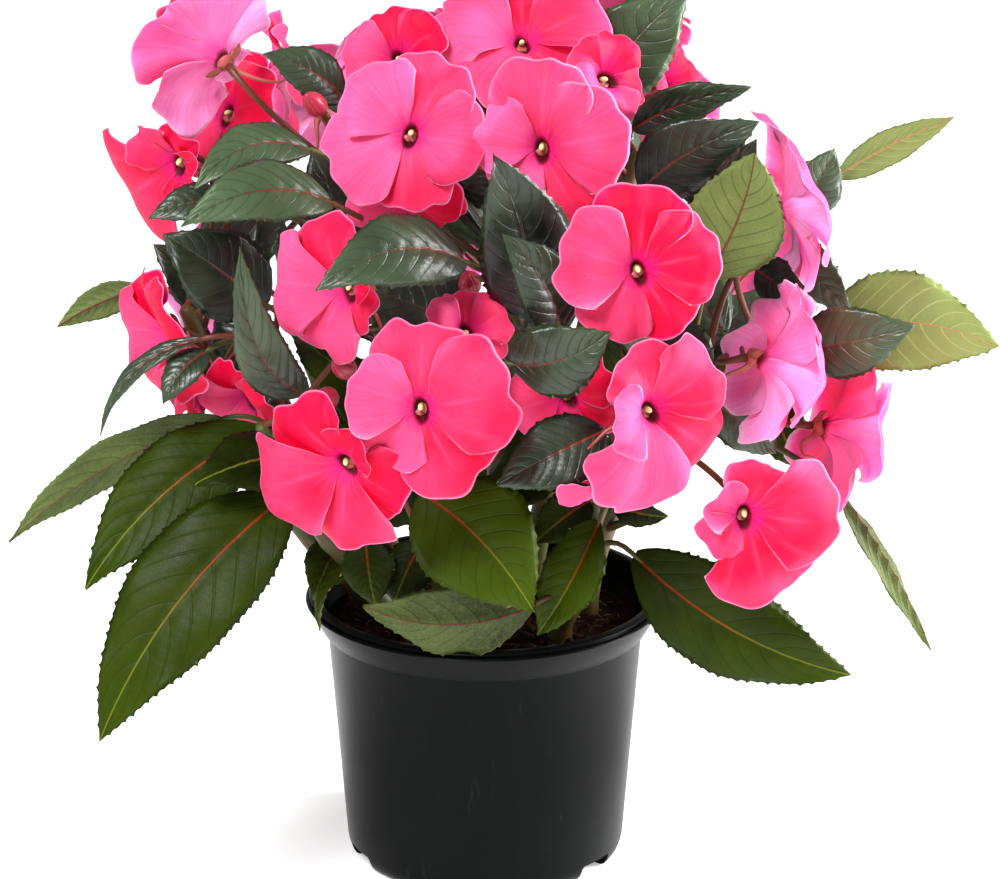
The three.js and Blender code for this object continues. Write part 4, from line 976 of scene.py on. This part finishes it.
def pot_material():
    shader = Shader("pot_plastic", 0.3, Specular_IOR_Level=0.045)
    place = shader.place()
    broad = shader.noise(place, 30.0, 3.0)
    scuffs = shader.noise(shader.stretched(place, (1.0, 1.0, 0.15)), 420.0, 4.0, 0.7)
    marks = scuffs.ramp(0.62, 0.74)
    body = shader.mix(broad, (7, 8, 8), (12, 14, 14))
    shader.colour(shader.mix(marks * 0.05, body, (92, 94, 96)))
    shader.gloss(marks * 0.12 + (broad * 0.1 + 0.24))
    shader.bump(shader.noise(place, 1600.0, 3.0, 0.6), 0.12, 0.0003)
    return shader.material


def soil_material():
    shader = Shader("peat", 0.92, Specular_IOR_Level=0.08)
    place = shader.place()
    light, _ = shader.tint()
    crumbs = shader.noise(place, 420.0, 8.0, 0.7)
    specks = shader.cells(place, 520.0, "F1")
    body = shader.mix(crumbs, (7, 3, 2), (46, 22, 14))
    body = shader.mix(specks.ramp(0.0, 0.16, 0.25, 0.0), body, (112, 84, 58))
    shader.colour(shader.mix(light, body, (150, 112, 76)))
    shader.bump(crumbs, 0.9, 0.002)
    return shader.material


leaf_skins = [leaf_material("cool"), leaf_material("underside"), stem_material(), leaf_material("warm")]
petal_skins = [
    # Each petal look: deep colour, pale colour, and a rim colour painted as light through the thin edge
    petal_material("petal_front", (218, 6, 56), (240, 90, 146), (250, 140, 188)),
    petal_material("petal_back", (238, 84, 152), (252, 172, 228), (252, 186, 220)),
    calyx_material(),
    column_material(),
]

# What has grown, and the points that a new leaf keeps clear of
BLOOM_STEM = -1
BLOOM_SEED = 777
places, owners = [], []
foliage = [Surface() for _ in STEMS]
leaf_shares = [[] for _ in STEMS]
blooms, buds = [], []
draw = seeded(BLOOM_SEED)


def remember(spread, stem):
    places.append(np.asarray(spread))
    owners.append(np.full(len(spread), stem))


def is_clear(spread, stem):
    others, stems = np.concatenate(places), np.concatenate(owners)
    room = np.where(stems == BLOOM_STEM, LEAF_TO_BLOOM, LEAF_TO_LEAF)
    low, high = spread.min(0) - LEAF_TO_BLOOM, spread.max(0) + LEAF_TO_BLOOM
    near = (stems != stem) & (others > low).all(1) & (others < high).all(1)
    gaps = np.linalg.norm(spread[:, None] - others[near][None], axis=2)
    return bool((gaps > room[near]).all())


def is_inside(place):
    share = np.linalg.norm((place - HIDDEN_LEAF_MIDDLE) / HIDDEN_LEAF_REACH)
    return share < 1 and place[2] > HIDDEN_LEAF_LOWEST


def add_pedicel(stem, share, centre, normal, gap):
    seat = centre - normal * gap
    fine = pedicel_points(stem, share, seat, normal, 16)
    shares = np.linspace(0, 1, 17)
    radii = PEDICEL_RADIUS * (1 + 0.35 * smooth(shares, 0.85, 1) + 0.3 * (1 - smooth(shares, 0, 0.15)))
    foliage[stem].tube(fine, radii, 8, (0.45, 0, 0.9, 0), STALK_FACE)
    remember(fine, stem)


def add_bloom(stem, share, bloom, rows, columns):
    surface = Surface()
    swing = SPUR_SWING if len(blooms) % 2 else -SPUR_SWING
    grow_bloom(surface, bloom, swing, draw, rows, columns)
    blooms.append(surface)
    remember(bloom.spread(), BLOOM_STEM)
    add_pedicel(stem, share, bloom.centre, bloom.normal, HUB_BACK + SEAT_GAP)


def add_leaf(stem, share, leaf, tint, tooth_spacing, columns):
    grow_leaf(foliage[stem], leaf, stem, share, tint, tooth_spacing, columns, (next(draw), next(draw)))
    remember(leaf.spread(stem, share), stem)
    leaf_shares[stem].append(share)


for index in range(len(STEMS)):
    remember(stem_point(index, np.arange(41) / 40), index)
for (stem, share, centre, *form), tone in zip(SEEN_BLOOMS, BLOOM_TONES_AND_SHADE):
    add_bloom(stem, share, Bloom(view(centre), *form, tone), *SEEN_PETAL_MESH)
for index, (stem, share, centre, radius) in enumerate(FAR_BLOOMS):
    away = np.array(centre) - PLANT_MIDDLE
    heading = math.degrees(math.atan2(away[0], -away[1]))
    rise = math.degrees(math.atan2(away[2], math.hypot(away[0], away[1])))
    turn = FAR_BLOOM_TURN * index
    form = (heading, rise, turn, radius, FAR_BLOOM_CUP, EVEN, FAR_BLOOM_TONE)
    add_bloom(stem, share, Bloom(np.array(centre, float), *form), *FAR_PETAL_MESH)

for stem, share, place, heading, rise, length in BUDS:
    bud = Bloom(view(place), heading, rise, 0, length, 0, EVEN)
    add_pedicel(stem, share, bud.centre, bud.normal, BUD_SEAT_GAP)
    remember([bud.centre, bud.centre + bud.normal * length], BLOOM_STEM)
    surface = Surface()
    shares, radii = np.array(BUD_PROFILE).T
    fine = np.linspace(0, 1, 16)
    line = bud.centre + np.outer(fine * length, bud.normal)
    surface.tube(line, np.interp(fine, shares, radii), 16, (0.5, 0.5, 0, 0))
    buds.append(surface)

for stem, share, base, tip, width, turn, arch, bend, fold, light in SEEN_LEAVES:
    leaf = Leaf(view(base), view(tip), TO_CAMERA, turn, arch, bend, width, fold)
    add_leaf(stem, share, leaf, (light, next(draw), next(draw), 0), *SEEN_LEAF_MESH)

hidden = seeded(HIDDEN_LEAF_SEED)
for stem, wanted in enumerate(HIDDEN_LEAVES):
    found = 0
    for _ in range(HIDDEN_LEAF_TRIES):
        first, second, third, fourth, fifth, sixth = [next(hidden) for _ in range(6)]
        if found == wanted:
            continue
        share = mix(*HIDDEN_LEAF_SHARE, first)
        rise = radians(mix(*HIDDEN_LEAF_RISE, share) + HIDDEN_LEAF_RISE_SPREAD * (third - 0.5))
        direction = pointing(2 * math.pi * second, rise)
        length = mix(*HIDDEN_LEAF_LENGTH, fourth)
        base = stem_point(stem, share) + direction * mix(*HIDDEN_LEAF_STALK, fifth)
        tip = base + direction * length
        if not is_inside(tip):
            continue
        turn = HIDDEN_LEAF_TURN_SPREAD * (sixth - 0.5)
        bend = HIDDEN_LEAF_BEND_SPREAD * (fifth - 0.5)
        width = HIDDEN_LEAF_WIDTH_SHARE * length
        leaf = Leaf(base, tip, UPWARD, turn, HIDDEN_LEAF_ARCH, bend, width, HIDDEN_LEAF_FOLD)
        if not is_clear(leaf.spread(stem, share), stem):
            continue
        light = mix(*HIDDEN_LEAF_LIGHT, next(draw))
        add_leaf(stem, share, leaf, (light, next(draw), next(draw), 0), *HIDDEN_LEAF_MESH)
        found += 1

for index, (foot, _, _, radius) in enumerate(STEMS):
    shares = np.linspace(0, 1, 40)
    line = stem_point(index, shares)
    below = np.array([[*foot, SOIL_LEVEL - 10], [*foot, SOIL_LEVEL - 2]], float)
    radii = radius * mix(1, STEM_TIP_SHARE, shares) * 0.97
    for share in leaf_shares[index]:
        radii = radii + radius * 0.16 * np.exp(-(((shares - share) / 0.03) ** 2))
    cap = line[-1] + unit(line[-1] - line[-2]) * radii[-1] * 0.6
    line = np.concatenate([below, line, [cap]])
    radii = np.concatenate([[radius, radius], radii, [radii[-1] * 0.4]])
    foliage[index].tube(line, radii, 16, (0.3, 0.3, 0.5, 0), STALK_FACE)

for index, surface in enumerate(foliage, 1):
    build(f"foliage_{index}", surface, leaf_skins, f"leafy_stem_{index}")
for index, surface in enumerate(blooms, 1):
    build(f"flower_{index}", surface, petal_skins, f"bloom_{index}")
bud_skin = bud_material()
for index, surface in enumerate(buds, 1):
    build(f"flower_bud_{index}", surface, [bud_skin], f"bud_{index}")


# Pot: a finely turned shell, cut by the drain slots
def turned(profile, sides):
    surface = Surface()
    angles = 2 * math.pi * np.arange(sides) / sides
    profile = np.array(profile, float)
    ring = np.stack([np.cos(angles), np.sin(angles), np.zeros(sides)], -1)
    rings = profile[:, None, :1] * ring[None] + profile[:, None, 1:] * UPWARD
    share, turn = np.meshgrid(profile[:, 1], angles, indexing="ij")
    maps = np.stack([turn / (2 * math.pi), share / POT_HEIGHT], -1)
    surface.loft(rings, sides, maps, maps * 100)
    return surface


POT_SIDES = 192
POT_PROFILE = [
    (0.5, 0),
    (PAD_RADIUS, 0),
    (PAD_RADIUS + 0.5, 0.4),
    (PAD_RADIUS + 2, FLOOR_RAISE),
    (CONTACT_RADIUS - 8, FLOOR_RAISE),
    (CONTACT_RADIUS - 6, 0.5),
    (CONTACT_RADIUS - 5.4, 0),
    (CONTACT_RADIUS, 0),
    (CONTACT_RADIUS + 1.4, 0.6),
    (CONTACT_RADIUS + 2.5, 2.1),
    (CONTACT_RADIUS + 3.2, 4.0),
    (WALL_FOOT_RADIUS, CORNER_HEIGHT),
    (mix(WALL_FOOT_RADIUS, WALL_TOP_RADIUS, 0.5), mix(CORNER_HEIGHT, BAND_FOOT, 0.5)),
    (WALL_TOP_RADIUS, BAND_FOOT - 1),
    (WALL_TOP_RADIUS + 0.3, BAND_FOOT - 0.5),
    (BAND_FOOT_RADIUS - 0.5, BAND_FOOT + 0.1),
    (BAND_FOOT_RADIUS, BAND_FOOT + 0.6),
    (RIM_RADIUS - 0.3, POT_HEIGHT - 3.2),
    (RIM_RADIUS, POT_HEIGHT - 2.7),
    (RIM_RADIUS - 0.2, POT_HEIGHT - 2.2),
    (RIM_RADIUS - 0.8, POT_HEIGHT - 2.0),
    (LIP_RADIUS - 0.1, POT_HEIGHT - 2.1),
    (LIP_RADIUS - 0.2, POT_HEIGHT - 1.9),
    (LIP_RADIUS + 0.6, POT_HEIGHT - 1.5),
    (LIP_RADIUS + 0.8, POT_HEIGHT - 0.9),
    (LIP_RADIUS + 0.4, POT_HEIGHT - 0.3),
    (LIP_RADIUS - 0.5, POT_HEIGHT),
    (MOUTH_RADIUS + 0.8, POT_HEIGHT),
    (MOUTH_RADIUS + 0.2, POT_HEIGHT - 0.3),
    (MOUTH_RADIUS, POT_HEIGHT - 0.9),
    (MOUTH_RADIUS, POT_HEIGHT - 4),
    (BAND_FOOT_RADIUS - WALL, BAND_FOOT + 1),
    (WALL_TOP_RADIUS - WALL, BAND_FOOT - 1.6),
    (WALL_FOOT_RADIUS - WALL, CORNER_HEIGHT + 0.6),
    (CONTACT_RADIUS - 1.6, FLOOR_RAISE + WALL),
    (0.5, FLOOR_RAISE + WALL),
]
pot = build("nursery_pot", turned(POT_PROFILE, POT_SIDES), [pot_material()], "pot")

# Drain slots: the outline in half widths and heights
SLOT_OUTLINE = [(-1, -6), (1, -6), (1, 4.6), (0.88, SLOT_HEIGHT), (-0.88, SLOT_HEIGHT), (-1, 4.6)]
cutters = Surface()
for index in range(SLOT_COUNT):
    angle = radians(SLOT_FIRST_DEGREES + 360 * index / SLOT_COUNT) - math.pi / 2
    outward = np.array([math.cos(angle), math.sin(angle), 0])
    sideways = np.array([-outward[1], outward[0], 0])
    corners = [
        outward * distance + sideways * x * SLOT_WIDTH / 2 + np.array([0, 0, z])
        for distance in (CONTACT_RADIUS - 13, CONTACT_RADIUS + 13)
        for x, z in SLOT_OUTLINE
    ]
    blank = np.zeros((len(corners), 2))
    cutters.loft(corners, len(SLOT_OUTLINE), blank, blank)
cutter = add_object("slots", cutters.mesh("slots"))
cut = pot.modifiers.new("slots", "BOOLEAN")
cut.operation, cut.object, cut.solver = "DIFFERENCE", cutter, "EXACT"
graph = bpy.context.evaluated_depsgraph_get()
cut_mesh = bpy.data.meshes.new_from_object(pot.evaluated_get(graph))
pot.modifiers.clear()
pot.data = cut_mesh
bpy.data.objects.remove(cutter)
pot.data.set_sharp_from_angle(angle=radians(50))

# Peat: a rough top with crumbs and fibres lying on it
SOIL_RADIUS = 56.2
SOIL_SHOULDER_RADIUS = 54.5
SOIL_FOOT_RADIUS = 48
SOIL_FLOOR = 6.8
SOIL_SIDES = 200
SOIL_RINGS = 84
SOIL_SEED = 5150
CRUMB_COUNT = 330
FIBRE_COUNT = 190
peat = Surface()
top_radii = np.concatenate([[0.4], np.linspace(2, SOIL_RADIUS, SOIL_RINGS)])
angles = 2 * math.pi * np.arange(SOIL_SIDES) / SOIL_SIDES
circle = np.stack([np.cos(angles), np.sin(angles), np.zeros(SOIL_SIDES)], -1)
rings = []
for radius in top_radii:
    ring = radius * circle + SOIL_LEVEL * UPWARD
    for point in ring:
        at = Vector(point) / METRE
        coarse = noise.fractal(at * 90, 0.8, 2.1, 4)
        fine = noise.fractal(at * 420, 0.7, 2.2, 3)
        point[2] += 1.5 * coarse + 1.0 * fine - 1.2 * smooth(radius, SOIL_RADIUS - 5, SOIL_RADIUS)
    rings.append(ring)
rings.append(SOIL_SHOULDER_RADIUS * circle + (SOIL_LEVEL - 3) * UPWARD)
rings.append(SOIL_FOOT_RADIUS * circle + SOIL_FLOOR * UPWARD)
rings = np.array(rings)[::-1]
flat = rings[..., :2] / 100
peat.loft(rings, SOIL_SIDES, flat, flat)
chance = seeded(SOIL_SEED)


def scattered(reach, height):
    distance = reach * math.sqrt(next(chance))
    angle = 2 * math.pi * next(chance)
    return np.array([distance * math.cos(angle), distance * math.sin(angle), height])


for _ in range(CRUMB_COUNT):
    middle = scattered(SOIL_RADIUS - 4, SOIL_LEVEL + 0.4)
    size = mix(0.5, 1.6, next(chance) ** 2)
    lean = 2 * math.pi * next(chance)
    heading = np.array([math.cos(lean), math.sin(lean), 0.4 * (next(chance) - 0.5)])
    line = middle + np.outer([-1, -0.5, 0.2, 0.8, 1.1], heading) * size
    peat.tube(line, np.array([0.3, 0.85, 1, 0.7, 0.25]) * size, 6, (0.1 * next(chance), 0, 0, 0))
for _ in range(FIBRE_COUNT):
    middle = scattered(SOIL_RADIUS - 7, SOIL_LEVEL + 1.1)
    lean = 2 * math.pi * next(chance)
    length = mix(2, 6.5, next(chance))
    heading = np.array([math.cos(lean), math.sin(lean), 0.5 * (next(chance) - 0.5)])
    side = np.array([-heading[1], heading[0], 0.3]) * length * 0.2 * (next(chance) - 0.5)
    shares = np.linspace(-1, 1, 5)[:, None]
    line = middle + heading * shares * length / 2 + side * (1 - shares * shares) * 2
    peat.tube(line, [0.12, 0.17, 0.17, 0.15, 0.08], 5, (mix(0.25, 0.8, next(chance)), 0, 0, 0))
build("peat_plug", peat, [soil_material()], "soil")

# Floor, lights and camera, in metres
FLOOR_HALF_WIDTH = 12
FLOOR_DROP = 0.0002
floor_mesh = bpy.data.meshes.new("floor")
floor_corners = [
    (x * FLOOR_HALF_WIDTH, y * FLOOR_HALF_WIDTH, 0)
    for x, y in ((-1, -1), (1, -1), (1, 1), (-1, 1))
]
floor_mesh.from_pydata(floor_corners, [], [(0, 1, 2, 3)])
floor = add_object("floor", floor_mesh)
floor.location.z = -FLOOR_DROP
floor_shader = Shader(
    "floor_paper",
    0.9,
    Base_Color=(0.9, 0.9, 0.9, 1),
    Specular_IOR_Level=0.1,
    Emission_Color=(1, 1, 1, 1),
    Emission_Strength=0.4,
)
floor_mesh.materials.append(floor_shader.material)

world = bpy.data.worlds.new("studio")
world.use_nodes = True
world.node_tree.nodes["Background"].inputs["Color"].default_value = (1, 1, 1, 1)
world.node_tree.nodes["Background"].inputs["Strength"].default_value = 0.48
bpy.context.scene.world = world


def area_light(name, place, target, size, power):
    data = bpy.data.lights.new(name, "AREA")
    data.shape = "RECTANGLE"
    data.size, data.size_y = size
    data.energy = power
    light = add_object(name, data)
    light.location = place
    light.rotation_euler = (Vector(target) - Vector(place)).to_track_quat("-Z", "Y").to_euler()


area_light("key", (-0.7, -1.3, 1.7), target=(0, 0, 0.18), size=(0.7, 0.7), power=58)
area_light("side", (0.9, 0.05, 0.3), target=(0, 0, 0.08), size=(0.3, 0.8), power=26)

camera_data = bpy.data.cameras.new("camera")
camera_data.sensor_width = SENSOR_WIDTH
camera_data.lens = CAMERA_FOCAL_PIXELS * SENSOR_WIDTH / PHOTO_WIDTH
camera = add_object("camera", camera_data)
camera.location = CAMERA_PLACE / METRE
camera.rotation_euler = Vector(-TO_CAMERA).to_track_quat("-Z", "Y").to_euler()
bpy.context.scene.camera = camera
bpy.context.scene.view_settings.view_transform = "Standard"
